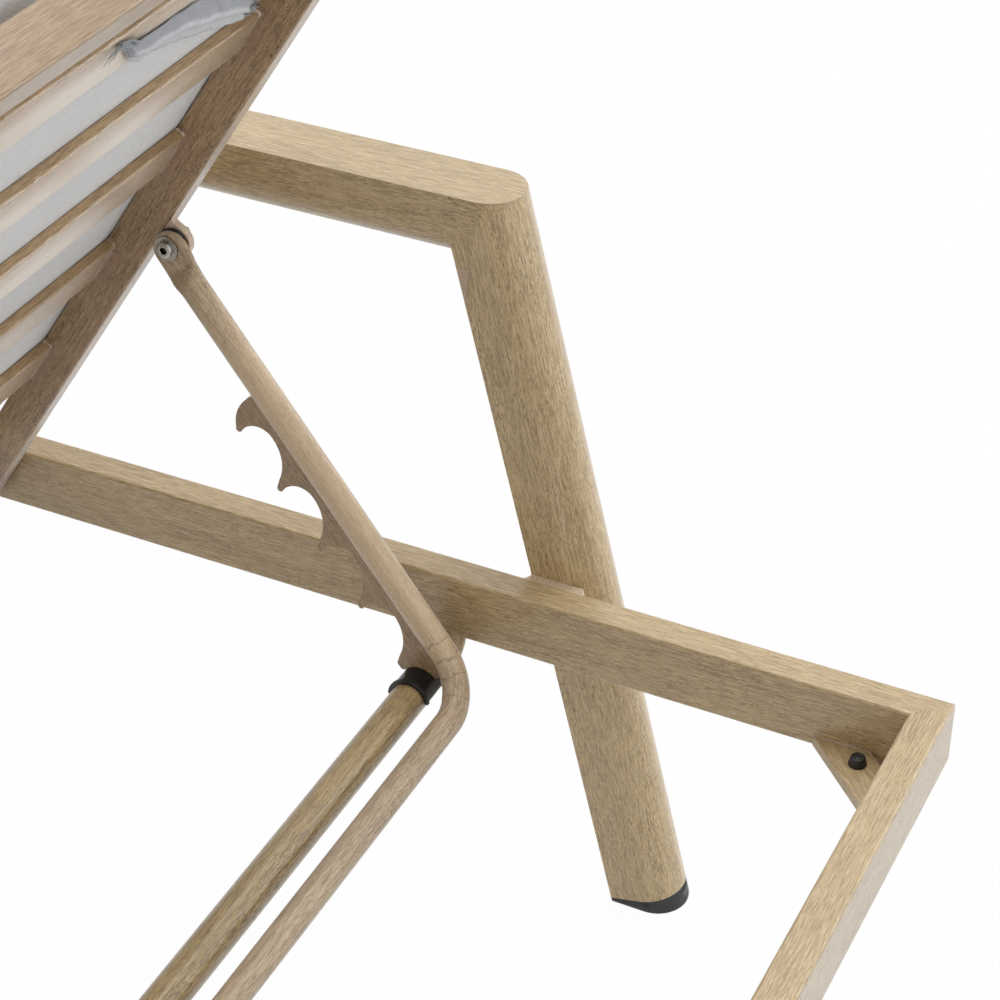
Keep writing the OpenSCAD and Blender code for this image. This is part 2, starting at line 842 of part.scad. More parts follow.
// Cushion with a crown, round edges and sides drawn in along its length, its corner at the origin
module cushion(l, w) {
    xs = spread(l, cushion_edge, 4, 12);
    ys = spread(w, cushion_edge, 4, 6);
    nx = len(xs);
    ny = len(ys);
    mid = cushion_t / 2;
    half_seam = cushion_seam / 2;
    rise = mid - half_seam;
    function drawn(x, y) = w / 2 + (y - w / 2) * (1 - 2 * cushion_draw / w * sin(180 * x / l));
    function crown(x, y) = cushion_crown * sin(180 * x / l) * sin(180 * y / w);
    function half(x, y) = half_seam + rise * fullness(x, y, l, w, cushion_edge);
    top = [for (x = xs, y = ys) [x, drawn(x, y), mid + half(x, y) + crown(x, y)]];
    low = [for (x = xs, y = ys) [x, drawn(x, y), mid - half(x, y)]];
    m = nx * ny;
    function at(i, j) = i * ny + j;
    polyhedron(points = concat(top, low), faces = concat(
        [for (i = [0 : nx - 2], j = [0 : ny - 2]) [at(i, j), at(i, j + 1), at(i + 1, j + 1)]],
        [for (i = [0 : nx - 2], j = [0 : ny - 2]) [at(i, j), at(i + 1, j + 1), at(i + 1, j)]],
        [for (i = [0 : nx - 2], j = [0 : ny - 2]) [m + at(i, j), m + at(i + 1, j + 1), m + at(i, j + 1)]],
        [for (i = [0 : nx - 2], j = [0 : ny - 2]) [m + at(i, j), m + at(i + 1, j), m + at(i + 1, j + 1)]],
        [for (i = [0 : nx - 2]) [at(i, 0), at(i + 1, 0), m + at(i, 0)]],
        [for (i = [0 : nx - 2]) [at(i + 1, 0), m + at(i + 1, 0), m + at(i, 0)]],
        [for (i = [0 : nx - 2]) [at(i + 1, ny - 1), at(i, ny - 1), m + at(i, ny - 1)]],
        [for (i = [0 : nx - 2]) [m + at(i + 1, ny - 1), at(i + 1, ny - 1), m + at(i, ny - 1)]],
        [for (j = [0 : ny - 2]) [at(0, j + 1), at(0, j), m + at(0, j)]],
        [for (j = [0 : ny - 2]) [m + at(0, j + 1), at(0, j + 1), m + at(0, j)]],
        [for (j = [0 : ny - 2]) [at(nx - 1, j), at(nx - 1, j + 1), m + at(nx - 1, j)]],
        [for (j = [0 : ny - 2]) [at(nx - 1, j + 1), m + at(nx - 1, j + 1), m + at(nx - 1, j)]]
    ));
}

module seat_cushion() {
    color(fabric) translate([seat_cushion_front, -cushion_w / 2, seat_slat_top + soft_gap])
        cushion(seat_cushion_rear - seat_cushion_front, cushion_w);
}

module back_cushion() {
    color(fabric) on_backrest() translate([back_cushion_low, -cushion_w / 2, back_front + soft_gap])
        cushion(back_end + cushion_over - back_cushion_low, cushion_w);
}

// Cloth strap that lies slanting on the rear of the uppermost slat
module cushion_strap() {
    strap_x = slat_first + (back_slats - 1) * slat_pitch - slat_w / 2 - strap_up;
    color(tape) on_backrest() translate([strap_x, strap_tip_y, slat_rear - soft_gap - strap_t])
        rotate([0, 0, -strap_slope]) cube([strap_w, strap_l, strap_t]);
}

side_rail(true);  // side_rail_left
side_rail(false);  // side_rail_right
end_rail(1);  // head_rail
end_rail(-1);  // foot_rail
seat_slat(1);  // seat_slat_1
seat_slat(2);  // seat_slat_2
seat_slat(3);  // seat_slat_3
seat_slat(4);  // seat_slat_4
seat_slat(5);  // seat_slat_5
seat_slat(6);  // seat_slat_6
seat_slat(7);  // seat_slat_7
seat_slat(8);  // seat_slat_8
seat_slat(9);  // seat_slat_9
seat_slat(10);  // seat_slat_10
gusset(true);  // gusset_left
gusset(false);  // gusset_right
buffer(true);  // buffer_left
buffer(false);  // buffer_right
arm(true);  // arm_left
arm(false);  // arm_right
rear_leg(true);  // rear_leg_left
rear_leg(false);  // rear_leg_right
middle_leg(true);  // middle_leg_left
middle_leg(false);  // middle_leg_right
front_leg(true);  // front_leg_left
front_leg(false);  // front_leg_right
rear_foot_caps();
middle_foot_caps();
front_foot_caps();
leg_spacers();
crossbar();
crossbar_sleeve(true);  // crossbar_sleeve_left
crossbar_sleeve(false);  // crossbar_sleeve_right
hinge_bolts();
hinge_washers();
hinge_nuts();
seat_cushion();
back_rail(true);  // back_rail_left
back_rail(false);  // back_rail_right
back_top_rail();
back_slat(1);  // back_slat_1
back_slat(2);  // back_slat_2
back_slat(3);  // back_slat_3
back_slat(4);  // back_slat_4
back_slat(5);  // back_slat_5
back_slat(6);  // back_slat_6
lug(true);  // lug_left
lug(false);  // lug_right
hinge_bushes();
rail_end_plugs();
pivot_bolts();
pivot_washers();
pivot_discs();
pivot_nuts();
back_cushion();
cushion_strap();
bail_tube();
comb(true);  // comb_left
comb(false);  // comb_right
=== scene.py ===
import math
import random
import bpy
import bmesh
import numpy as np
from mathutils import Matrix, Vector, noise
from mathutils.bvhtree import BVHTree


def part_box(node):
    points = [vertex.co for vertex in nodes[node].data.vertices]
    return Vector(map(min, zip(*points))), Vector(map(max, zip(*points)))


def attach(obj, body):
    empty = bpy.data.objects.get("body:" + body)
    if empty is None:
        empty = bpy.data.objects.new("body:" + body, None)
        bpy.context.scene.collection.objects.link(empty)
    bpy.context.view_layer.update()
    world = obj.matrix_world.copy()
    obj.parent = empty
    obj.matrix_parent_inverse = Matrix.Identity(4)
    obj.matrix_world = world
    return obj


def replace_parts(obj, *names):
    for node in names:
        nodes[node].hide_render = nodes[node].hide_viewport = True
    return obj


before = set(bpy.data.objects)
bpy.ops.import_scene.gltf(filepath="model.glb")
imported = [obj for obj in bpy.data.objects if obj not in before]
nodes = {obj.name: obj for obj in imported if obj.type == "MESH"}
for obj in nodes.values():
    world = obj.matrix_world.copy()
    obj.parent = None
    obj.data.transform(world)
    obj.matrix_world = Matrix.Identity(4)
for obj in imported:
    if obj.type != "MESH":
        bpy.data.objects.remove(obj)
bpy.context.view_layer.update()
print("stage: frame loaded,", len(nodes), "nodes")

# Places that the pieces share, in metres and degrees, as in the part's source
place = {
    "railTop": 0.300, "railBottom": 0.248, "railInner": 0.295, "headInner": 0.975,
    "hinge": (0.230, 0.284), "recline": 57.0, "backFront": 0.010, "backInner": 0.270,
    "slatFirst": 0.0298, "slatPitch": 0.1194, "slatWide": 0.040, "slatThick": 0.008, "backSlats": 6,
    "seatSlats": 10, "seatSlatFirst": 0.168, "seatSlatPitch": 0.1163, "slatTop": 0.294,
    "pivot": (0.4331318, 0.5407951), "bailTilt": 53.411354, "tabY": 0.2633, "tubeY": 0.2611,
    "comb": (0.122, 0.372), "crossbar": (0.6228588, 0.226), "crossbarRadius": 0.013,
    "elbowY": 0.3075, "legSlant": 13.7, "rearLeg": 0.677, "armMiddle": 0.3067991,
    "legInner": 0.330, "profile": 0.051, "armTop": 0.590, "gussetLong": 0.065, "gussetCut": 0.022,
    "gussetTop": 0.257, "bailLength": 1.2616,
}


def onBackrest(x, y, z):
    a = math.radians(place["recline"])
    hx, hz = place["hinge"]
    return Vector((hx + x * math.cos(a) - z * math.sin(a), y, hz + x * math.sin(a) + z * math.cos(a)))


def onBail(u, y, w):
    a = math.radians(place["bailTilt"])
    px, pz = place["pivot"]
    return Vector((px + u * math.cos(a) + w * math.sin(a), y, pz - u * math.sin(a) + w * math.cos(a)))


def setInput(node, socket, value):
    target = node.inputs[socket]
    if isinstance(value, bpy.types.NodeSocket):
        node.id_data.links.new(value, target)
    elif value is not None:
        target.default_value = value


# Adds a node: values fill its inputs in their order, settings are its own properties
def addNode(tree, kind, *values, **settings):
    node = tree.nodes.new(kind)
    for name, value in settings.items():
        setattr(node, name, value)
    for socket, value in enumerate(values):
        setInput(node, socket, value)
    return node


def fillInputs(node, inputs):
    for name, value in inputs.items():
        setInput(node, name, value)
    return node


def mathNode(operation, *values):
    tree = next(value.id_data for value in values if isinstance(value, bpy.types.NodeSocket))
    return addNode(tree, "ShaderNodeMath", *values, operation=operation).outputs[0]


def plus(a, b):
    return mathNode("ADD", a, b)


def minus(a, b):
    return mathNode("SUBTRACT", a, b)


def times(a, b):
    return mathNode("MULTIPLY", a, b)


def mixColor(factor, a, b):
    node = addNode(factor.id_data, "ShaderNodeMix", data_type="RGBA")
    for socket, value in ((0, factor), (6, a), (7, b)):
        setInput(node, socket, value)
    return node.outputs[2]


def mapRange(value, low, high, outLow=0.0, outHigh=1.0, smooth=True):
    kind = "SMOOTHSTEP" if smooth else "LINEAR"
    values = (value, low, high, outLow, outHigh)
    return addNode(value.id_data, "ShaderNodeMapRange", *values, interpolation_type=kind).outputs[0]


def mapped(vector, move=(0, 0, 0), turn=(0, 0, 0), scale=(1, 1, 1)):
    angles = [math.radians(angle) for angle in turn]
    return addNode(vector.id_data, "ShaderNodeMapping", vector, move, angles, scale).outputs[0]


def noiseAt(vector, stretch=(1, 1, 1), detail=2.0, rough=0.5, shift=(0, 0, 0), scale=1.0):
    node = addNode(vector.id_data, "ShaderNodeTexNoise")
    fillInputs(node, {"Vector": mapped(vector, shift, scale=stretch), "Scale": scale,
                      "Detail": detail, "Roughness": rough})
    return node.outputs["Fac"]


def partsOf(vector):
    return addNode(vector.id_data, "ShaderNodeSeparateXYZ", vector).outputs


def coordinates(tree, kind="Object"):
    return addNode(tree, "ShaderNodeTexCoord").outputs[kind]


def attributeVector(tree, name):
    return addNode(tree, "ShaderNodeAttribute", attribute_name=name).outputs["Vector"]


def newGroup(name, inputs, outputs):
    group = bpy.data.node_groups.new(name, "ShaderNodeTree")
    for label, kind, value in inputs:
        socket = group.interface.new_socket(name=label, in_out="INPUT", socket_type="NodeSocket" + kind)
        if value is not None:
            socket.default_value = value
    for label, kind in outputs:
        group.interface.new_socket(name=label, in_out="OUTPUT", socket_type="NodeSocket" + kind)
    return group, addNode(group, "NodeGroupInput").outputs, addNode(group, "NodeGroupOutput")


def srgb(*levels):
    shares = [level / 255 for level in levels]
    return tuple(v / 12.92 if v <= 0.04045 else ((v + 0.055) / 1.055) ** 2.4 for v in shares) + (1.0,)


# The print's noises: stretch with X along the grain, detail, roughness, shift
grainNoise = {
    "wanderA": ((7, 22, 22), 2.0, 0.5), "wanderB": ((7, 22, 22), 2.0, 0.5, (3.1, 7.7, 1.3)),
    "broad": ((4, 40, 40), 2.0, 0.55, (0.7, 2.1, 5.2)), "patch": ((9, 22, 22), 1.0, 0.5, (5.5, 5.5, 1.5)),
    "streak": ((13, 760, 760), 4.0, 0.72, (4.2, 0.3, 9.1)),
    "density": ((14, 90, 90), 2.0, 0.5, (2.5, 3.5, 0.5)),
    "pores": ((230, 2200, 2200), 1.5, 0.6, (1.9, 6.6, 2.4)),
    "fine": ((70, 1600, 1600), 2.0, 0.55, (8.3, 1.1, 4.7)),
}
rippleLook = {"Scale": 3.2, "Distortion": 9.0, "Detail": 1.0, "Detail Scale": 0.8}
rippleAt = {"move": (0.37, 0.61, 0.23), "scale": (22.0, 9.0, 9.0)}


# Printed wood grain: the vector's X runs along the grain
def buildGrain():
    group, given, out = newGroup(
        "printedGrain",
        [("Vector", "Vector", None), ("Base", "Color", srgb(196, 172, 132)),
         ("Dark", "Color", srgb(120, 98, 68)), ("Light", "Color", srgb(222, 204, 170)),
         ("Pore Amount", "Float", 0.55), ("Streak Amount", "Float", 0.4), ("Figure Amount", "Float", 0.5),
         ("Warp", "Float", 0.004)],
        [("Color", "Color"), ("Roughness", "Float"), ("Height", "Float")])
    vector, dark, light = given["Vector"], given["Dark"], given["Light"]
    pores, streaks = given["Pore Amount"], given["Streak Amount"]
    wander = [noiseAt(vector, *grainNoise[name]) for name in ("wanderA", "wanderB")]
    bends = [times(minus(one, 0.5), given["Warp"]) for one in wander]  # slow wander of the grain lines
    bend = addNode(group, "ShaderNodeCombineXYZ", None, *bends).outputs[0]
    line = addNode(group, "ShaderNodeVectorMath", vector, bend, operation="ADD").outputs[0]
    broad, streak, pore, fine, density = (noiseAt(line, *grainNoise[name])
                                          for name in ("broad", "streak", "pores", "fine", "density"))
    # rippled figure across the grain, in patches
    ripple = addNode(group, "ShaderNodeTexWave", mapped(line, **rippleAt), wave_type="RINGS",
                     rings_direction="SPHERICAL")
    fillInputs(ripple, rippleLook)
    patch = mapRange(noiseAt(vector, *grainNoise["patch"]), 0.52, 0.68)
    figure = times(times(ripple.outputs["Fac"], patch), given["Figure Amount"])
    poreMask = times(times(mapRange(pore, 0.54, 0.59), pores), mapRange(density, 0.35, 0.65, 0.45, 1.0))
    color = given["Base"]
    for mask, toward in ((times(mapRange(broad, 0.42, 0.74), 0.26), dark),
                         (times(mapRange(streak, 0.47, 0.30), streaks), light),
                         (times(mapRange(fine, 0.47, 0.38), 0.46), light),
                         (times(times(mapRange(streak, 0.52, 0.70), streaks), 0.8), dark),
                         (times(figure, 0.5), dark),
                         (poreMask, dark),
                         (times(mapRange(fine, 0.51, 0.60), 0.46), dark)):
        color = mixColor(mask, color, toward)
    fillInputs(out, {"Color": color, "Height": minus(times(streak, 0.4), poreMask),
                     "Roughness": plus(plus(0.36, times(poreMask, 0.18)), times(broad, 0.08))})
    return group


# Fine orange peel of the powder coat under the print
def buildCoat():
    group, given, out = newGroup(
        "powderCoat", [("Vector", "Vector", None), ("Height", "Float", 0.0), ("Peel", "Float", 0.35)],
        [("Height", "Float")])
    peel = noiseAt(given["Vector"], scale=900.0)
    setInput(out, "Height", plus(given["Height"], times(peel, given["Peel"])))
    return group


# Where the film didn't reach: ragged pale patches about a distance of zero
def buildBare():
    group, given, out = newGroup(
        "filmEdge", [("Vector", "Vector", None), ("Distance", "Float", 0.0), ("Reach", "Float", 0.012),
                     ("Ragged", "Float", 0.010)], [("Mask", "Float"), ("Rim", "Float")])
    wave = noiseAt(given["Vector"], detail=3.0, rough=0.6, scale=70.0)
    edge = plus(given["Distance"], times(minus(wave, 0.5), given["Ragged"]))
    inside = minus(given["Reach"], edge)
    setInput(out, "Mask", mapRange(inside, -0.0010, 0.0016))
    setInput(out, "Rim", mapRange(mathNode("ABSOLUTE", inside), 0.0009, 0.0002))
    return group


# Twill cloth: the vector is in metres, X across and Y along the cloth
def buildTwill():
    group, given, out = newGroup(
        "twillWeave", [("Vector", "Vector", None), ("Pitch", "Float", 0.0012)],
        [("Height", "Float"), ("Thread", "Float"), ("Melange", "Float")])
    pitches = addNode(group, "ShaderNodeCombineXYZ", *[given["Pitch"]] * 3).outputs[0]
    scaled = addNode(group, "ShaderNodeVectorMath", given["Vector"], pitches, operation="DIVIDE").outputs[0]
    u, v = partsOf(scaled)[:2]
    cell = plus(mathNode("FLOOR", u), times(mathNode("FLOOR", v), 2.0))
    warpOver = mathNode("LESS_THAN", mathNode("FLOORED_MODULO", cell, 5.0), 2.5)
    humpU, humpV = (mathNode("ABSOLUTE", mathNode("SINE", times(one, math.pi))) for one in (u, v))
    weftTop = times(minus(1.0, warpOver), humpV)
    setInput(out, "Height", plus(times(warpOver, humpU), times(weftTop, 0.75)))
    setInput(out, "Thread", warpOver)
    setInput(out, "Melange", noiseAt(scaled, (0.9, 0.16, 1), 2.0, 0.6))
    return group


grainGroup = buildGrain()
coatGroup = buildCoat()
bareGroup = buildBare()
twillGroup = buildTwill()


def newMaterial(name):
    material = bpy.data.materials.new(name)
    material.use_nodes = True
    tree = material.node_tree
    return material, tree, tree.nodes["Principled BSDF"]


def useGroup(tree, group, inputs):
    return fillInputs(addNode(tree, "ShaderNodeGroup", node_tree=group), inputs).outputs


def bumpOn(bsdf, height, strength, distance):
    bump = addNode(bsdf.id_data, "ShaderNodeBump")
    fillInputs(bump, {"Strength": strength, "Distance": distance, "Height": height})
    setInput(bsdf, "Normal", bump.outputs[0])


# A point of the part in the backrest's own frame
def backrestParts(tree):
    hx, hz = place["hinge"]
    fromHinge = addNode(tree, "ShaderNodeVectorMath", coordinates(tree), (hx, 0, hz), operation="SUBTRACT")
    return partsOf(mapped(fromHinge.outputs[0], turn=(0, place["recline"], 0)))


woodLook = {
    "base": srgb(200, 174, 128), "dark": srgb(120, 92, 54), "light": srgb(230, 210, 172),
    "pores": 0.78, "streaks": 0.5, "figure": 0.12, "calm": 0.5, "bump": 0.00022, "warp": 0.004,
    "coat": 0.5, "sheen": 0.7,
    "bare": srgb(196, 172, 152), "bareShare": 0.6, "rimShare": 0.25,  # the coat where the film is missing; on the slats and the bail, the pale of painted reflection and painted light
}


# One wood print for each direction of grain; turn brings the grain's direction onto X
def woodMaterial(name, turn, shift=(0, 0, 0), attribute=None, missing=None, worn=None, **change):
    look = dict(woodLook, **change)
    material, tree, bsdf = newMaterial(name)
    plain = attributeVector(tree, attribute) if attribute else coordinates(tree)
    # painted sheen: faces that look up get fewer dark pores and streaks, so they read paler and calmer
    calm = mapRange(partsOf(coordinates(tree, "Normal"))[2], 0.6, 0.95, 1.0, look["calm"])
    grain = useGroup(tree, grainGroup, {
        "Vector": mapped(plain, shift, turn),
        "Base": look["base"], "Dark": look["dark"], "Light": look["light"],
        "Pore Amount": times(calm, look["pores"]), "Streak Amount": times(calm, look["streaks"]),
        "Figure Amount": look["figure"], "Warp": look["warp"]})
    color = grain["Color"]
    # painted light and painted reflection: the colour is mixed toward the pale colour where the given mask
    # lies
    if worn:
        share = look.get("wornShare", look["bareShare"])
        color = mixColor(times(worn(tree), share), color, look["bare"])
    for distance, reach, ragged in missing(tree) if missing else ():
        edge = useGroup(tree, bareGroup, {"Vector": plain, "Distance": distance, "Reach": reach,
                                          "Ragged": ragged})
        color = mixColor(times(edge["Mask"], look["bareShare"]), color, look["bare"])
        color = mixColor(times(edge["Rim"], look["rimShare"]), color, look["dark"])
    coat = useGroup(tree, coatGroup, {"Vector": plain, "Height": grain["Height"]})
    bumpOn(bsdf, coat["Height"], 0.3, look["bump"])
    fillInputs(bsdf, {"Base Color": color, "Roughness": grain["Roughness"], "Sheen Weight": look["sheen"],
                      "Sheen Roughness": 0.35, "Coat Weight": look["coat"], "Coat Roughness": 0.30,
                      "Coat IOR": 1.6})
    return material


# A backrest point's distance from the nearest slat's centre line, upwards
def fromSlat(x):
    half = place["slatPitch"] / 2
    return minus(mathNode("FLOORED_MODULO", minus(x, place["slatFirst"] - half), place["slatPitch"]), half)


# A backrest point's distance from the rail's inner face
def fromRail(y):
    return minus(place["backInner"], mathNode("ABSOLUTE", y))


def bareOnBackrest(tree):
    x, y, z = backrestParts(tree)
    side = minus(mathNode("ABSOLUTE", fromSlat(x)), place["slatWide"] / 2)
    spot = mathNode("MAXIMUM", plus(side, 0.004), times(mathNode("ABSOLUTE", z), 1.1))
    inward = mathNode("ABSOLUTE", mathNode("MINIMUM", fromRail(y), 0.05))
    return [(mathNode("MAXIMUM", spot, times(inward, 1.2)), 0.006, 0.014)]


def bareOnSlat(tree):
    return [(fromRail(backrestParts(tree)[1]), 0.004, 0.010)]


# Painted reflection on the slats' rear, a pale wash with a ragged chipped edge: streaks along the slat, held
# back near the rails and the upper edge as painted shade
def paintedReflectionOnSlat(tree):
    x, y, z = backrestParts(tree)
    plain = coordinates(tree)
    chips = times(minus(noiseAt(plain, (150, 55, 150), 3.0, 0.62), 0.5), 0.0070)
    rear = place["backFront"] - place["slatThick"]
    mask = mapRange(plus(z, chips), rear + 0.0019, rear + 0.0012)
    wander = noiseAt(plain, (60, 5, 60), 3.0, 0.6, (2.2, 0.4, 1.1))
    shifted = plus(fromSlat(x), mathNode("MULTIPLY_ADD", wander, 0.030, -0.015))
    ends = plus(fromRail(y), mathNode("MULTIPLY_ADD", wander, 0.10, -0.05))
    mask = times(mask, mapRange(shifted, 0.022, -0.006, 0.30, 1.0))
    return times(mask, mapRange(ends, 0.035, 0.15, 0.12, 1.0))


def bareOnLeg(tree):
    x, y, z = partsOf(coordinates(tree))
    lean = math.tan(math.radians(place["legSlant"]))
    front = mathNode("MULTIPLY_ADD", z, -lean, place["rearLeg"] + place["railTop"] * lean)
    triangle = minus(minus(x, front), times(minus(z, 0.508), 0.367))
    return [(mathNode("MAXIMUM", triangle, minus(z, 0.5375)), 0.0, 0.0012)]


# Length along the bail's tube from its nearer end
def bailReach(tree):
    length = partsOf(attributeVector(tree, "grainPlace"))[0]
    return mathNode("MINIMUM", length, minus(place["bailLength"], length))


# Painted light: the bail's straight sides are made paler than its flat ends and the parts past its bends
def paintedLightOnSides(tree):
    reach = bailReach(tree)
    return times(mapRange(reach, 0.020, 0.130), mapRange(reach, 0.400, 0.345))


# Thin dark folds of the film across the bail's bends
def filmFolds(tree):
    folded = bailReach(tree)
    return [(minus(folded, at), 0.0, ragged)
            for at, ragged in ((0.349, 0.016), (0.364, 0.022), (0.379, 0.014), (0.397, 0.010))]


slant = place["legSlant"]
lean = place["recline"]
woodAlong = woodMaterial("woodAlong", (0, 0, 0))
woodArm = woodMaterial("woodArm", (0, 0, 0), (0.4, 0.3, 0.1), streaks=0.6, calm=0.4)
woodAcross = woodMaterial("woodAcross", (0, 0, 90), (0.31, 0.17, 0.05))
woodRearLeg = woodMaterial("woodRearLeg", (0, 90 + slant, 0), (0.7, 0.2, 0.4), figure=0.3, missing=bareOnLeg,
                           base=srgb(212, 186, 139))
woodMiddleLeg = woodMaterial("woodMiddleLeg", (0, 90 - slant, 0), (0.1, 0.6, 0.9), figure=0.3,
                             base=srgb(212, 186, 139))
# darker than the frame's print: painted shade of the cushion on the backrest's rails
woodBackrest = woodMaterial("woodBackrest", (0, lean, 0), (0.2, 0.8, 0.3), missing=bareOnBackrest, figure=0.3,
                            base=srgb(184, 151, 112), dark=srgb(84, 62, 40), light=srgb(206, 178, 140),
                            bare=srgb(172, 140, 116), bareShare=0.5, rimShare=0.15, streaks=0.7, pores=0.85)
# darker than the frame's print: painted shade between the cushion and the slats; the pale wash on their rear
# faces is painted reflection
woodSlat = woodMaterial("woodSlat", (0, 0, 90), (0.31, 0.17, 0.05), missing=bareOnSlat, worn=paintedReflectionOnSlat,
                        base=srgb(184, 153, 112), dark=srgb(98, 75, 48), light=srgb(204, 176, 138),
                        bare=srgb(238, 226, 212), bareShare=0.88, rimShare=0.1, sheen=0.25, coat=0.3)
# darker than the other backrest members: painted shade on the top rail
woodTopRail = woodMaterial("woodTopRail", (0, 0, 90), (0.11, 0.57, 0.25), base=srgb(158, 128, 88),
                           dark=srgb(108, 80, 50), light=srgb(190, 162, 122), pores=0.5)
# darker base and dark than the frame's print: painted shade on the crossbar
woodCrossbar = woodMaterial("woodCrossbar", (0, 0, 90), (0.47, 0.29, 0.35), base=srgb(184, 158, 108),
                            dark=srgb(84, 61, 33), light=srgb(208, 184, 137), streaks=0.8, pores=0.9)
woodGusset = woodMaterial("woodGusset", (0, 0, 45), (0.5, 0.1, 0.6), sheen=0.4)
# painted light: here the pale colour only lights the bail's straight sides, and the film folds add thin dark
# rims
woodBail = woodMaterial("woodBail", (0, 0, 0), attribute="grainPlace", warp=0.006, coat=0.25, bump=0.00010,
                        missing=filmFolds, bareShare=0.0, rimShare=0.5, worn=paintedLightOnSides, wornShare=0.41,
                        base=srgb(195, 172, 140), dark=srgb(112, 90, 64), light=srgb(218, 198, 168),
                        bare=srgb(250, 222, 184))
# lighter than the other prints: painted light on the lug plates' edges that face the lamps
woodLug = woodMaterial("woodLug", (0, lean, 0), (0.2, 0.8, 0.3), base=srgb(226, 202, 178), pores=0.3,
                       dark=srgb(140, 114, 90), light=srgb(240, 222, 204))
woodComb = woodMaterial("woodComb", (0, -place["bailTilt"], 0), (0.2, 0.4, 0.1), base=srgb(176, 147, 112),
                        dark=srgb(98, 74, 52), light=srgb(198, 172, 140), coat=0.25, streaks=0.7, pores=0.9)
bareWeld = woodMaterial("bareWeld", (0, 0, 0), (0.6, 0.1, 0.2), base=srgb(182, 156, 126),
                        dark=srgb(128, 102, 76), light=srgb(206, 184, 154), pores=0.25, sheen=0.4)
spacerPrint = woodMaterial("spacerPrint", (0, 0, 90), base=srgb(248, 228, 200), pores=0.2,
                           dark=srgb(160, 134, 104), streaks=0.3)
backWeld = woodMaterial("backWeld", (0, 0, 0), (0.6, 0.1, 0.2), base=srgb(156, 124, 98),
                        dark=srgb(104, 80, 58), light=srgb(178, 148, 122), pores=0.25, sheen=0.2, coat=0.1)


def plasticMaterial(name, color, rough):
    material, tree, bsdf = newMaterial(name)
    plain = coordinates(tree)
    smear = noiseAt(plain, detail=3.0, scale=60.0)
    lighter = tuple(min(1, c * 1.6 + 0.004) for c in color[:3]) + (1,)
    setInput(bsdf, "Base Color", mixColor(mapRange(smear, 0.3, 0.8), color, lighter))
    setInput(bsdf, "Roughness", mapRange(smear, 0.25, 0.75, rough - 0.06, rough + 0.1))
    bumpOn(bsdf, noiseAt(plain, scale=700.0), 0.25, 0.0002)
    return material


blackPlastic = plasticMaterial("blackPlastic", srgb(23, 24, 25), 0.32)
blackRubber = plasticMaterial("blackRubber", srgb(22, 23, 24), 0.45)


def steelMaterial(name, dark, light, rough):
    material, tree, bsdf = newMaterial(name)
    brushed = noiseAt(coordinates(tree), (2200, 90, 2200))
    setInput(bsdf, "Base Color", mixColor(brushed, dark, light))
    setInput(bsdf, "Metallic", 1.0)
    setInput(bsdf, "Roughness", mapRange(brushed, 0.2, 0.8, rough - 0.06, rough + 0.1))
    return material


stainless = steelMaterial("stainless", srgb(140, 137, 131), srgb(196, 192, 184), 0.27)
socketShade = steelMaterial("socketShade", srgb(38, 30, 18), srgb(72, 56, 30), 0.45)


# Woven cloth on the piece's own UV map, in metres
def clothMaterial(name, light, dark, pitch, paintedShade=0.0):
    material, tree, bsdf = newMaterial(name)
    place2d = addNode(tree, "ShaderNodeUVMap", uv_map="weave").outputs[0]
    weave = useGroup(tree, twillGroup, {"Vector": place2d, "Pitch": pitch})
    soil = noiseAt(coordinates(tree), detail=3.0, scale=7.0)
    # darker weft threads, painted shade in the weave's hollows, and soiling
    masks = [times(minus(1.0, weave["Thread"]), 0.32), times(mapRange(weave["Height"], 0.55, 0.0), 0.55),
             mapRange(soil, 0.45, 0.8, 0.0, 0.12)]
    if paintedShade:  # the strap is folded lengthwise; its upper band and the end where it starts are darkened as painted shade
        across = partsOf(place2d)
        masks.append(mapRange(across[0], 0.0150, 0.0125, 0.0, paintedShade))
        masks.append(mapRange(across[1], 0.034, 0.012, 0.0, paintedShade))
    color = mixColor(mapRange(weave["Melange"], 0.3, 0.7, 0.0, 0.3), light, dark)
    for mask in masks:
        color = mixColor(mask, color, dark)
    fillInputs(bsdf, {"Base Color": color, "Roughness": 0.85, "Sheen Weight": 0.25})
    bumpOn(bsdf, weave["Height"], 0.7, 0.0003)
    return material


cushionCloth = clothMaterial("cushionCloth", srgb(249, 249, 249), srgb(184, 187, 191), 0.00105)
pipingCloth = clothMaterial("pipingCloth", srgb(232, 232, 233), srgb(172, 176, 181), 0.0009)
strapCloth = clothMaterial("strapCloth", srgb(238, 240, 244), srgb(134, 139, 149), 0.0008, paintedShade=0.6)

# The first line with a word of the node's name gives its material
nodeLooks = (
    (blackPlastic, ("foot_caps", "crossbar_sleeve", "hinge_bushes", "rail_end_plugs", "pivot_discs")),
    (stainless, ("bolts", "washers", "nuts")), (blackRubber, ("buffer",)), (woodAlong, ("side_rail",)),
    (woodArm, ("arm_",)), (woodRearLeg, ("rear_leg",)), (woodMiddleLeg, ("middle_leg", "front_leg")),
    (woodBackrest, ("back_rail",)), (woodLug, ("lug",)), (woodSlat, ("back_slat",)),
    (woodTopRail, ("back_top_rail",)), (woodCrossbar, ("crossbar",)), (spacerPrint, ("leg_spacers",)),
    (woodGusset, ("gusset",)), (woodComb, ("comb",)), (woodAcross, ("",)),
)
nodeLook = {}
for name, node in nodes.items():
    nodeLook[name] = next(look for look, words in nodeLooks if any(word in name for word in words))
    for slot in node.material_slots:
        slot.material = nodeLook[name]
print("stage: materials")


def linked(name, data):
    thing = bpy.data.objects.new(name, data)
    bpy.context.scene.collection.objects.link(thing)
    return thing


def evaluatedMesh(thing):
    graph = bpy.context.evaluated_depsgraph_get()
    return bpy.data.meshes.new_from_object(thing.evaluated_get(graph))


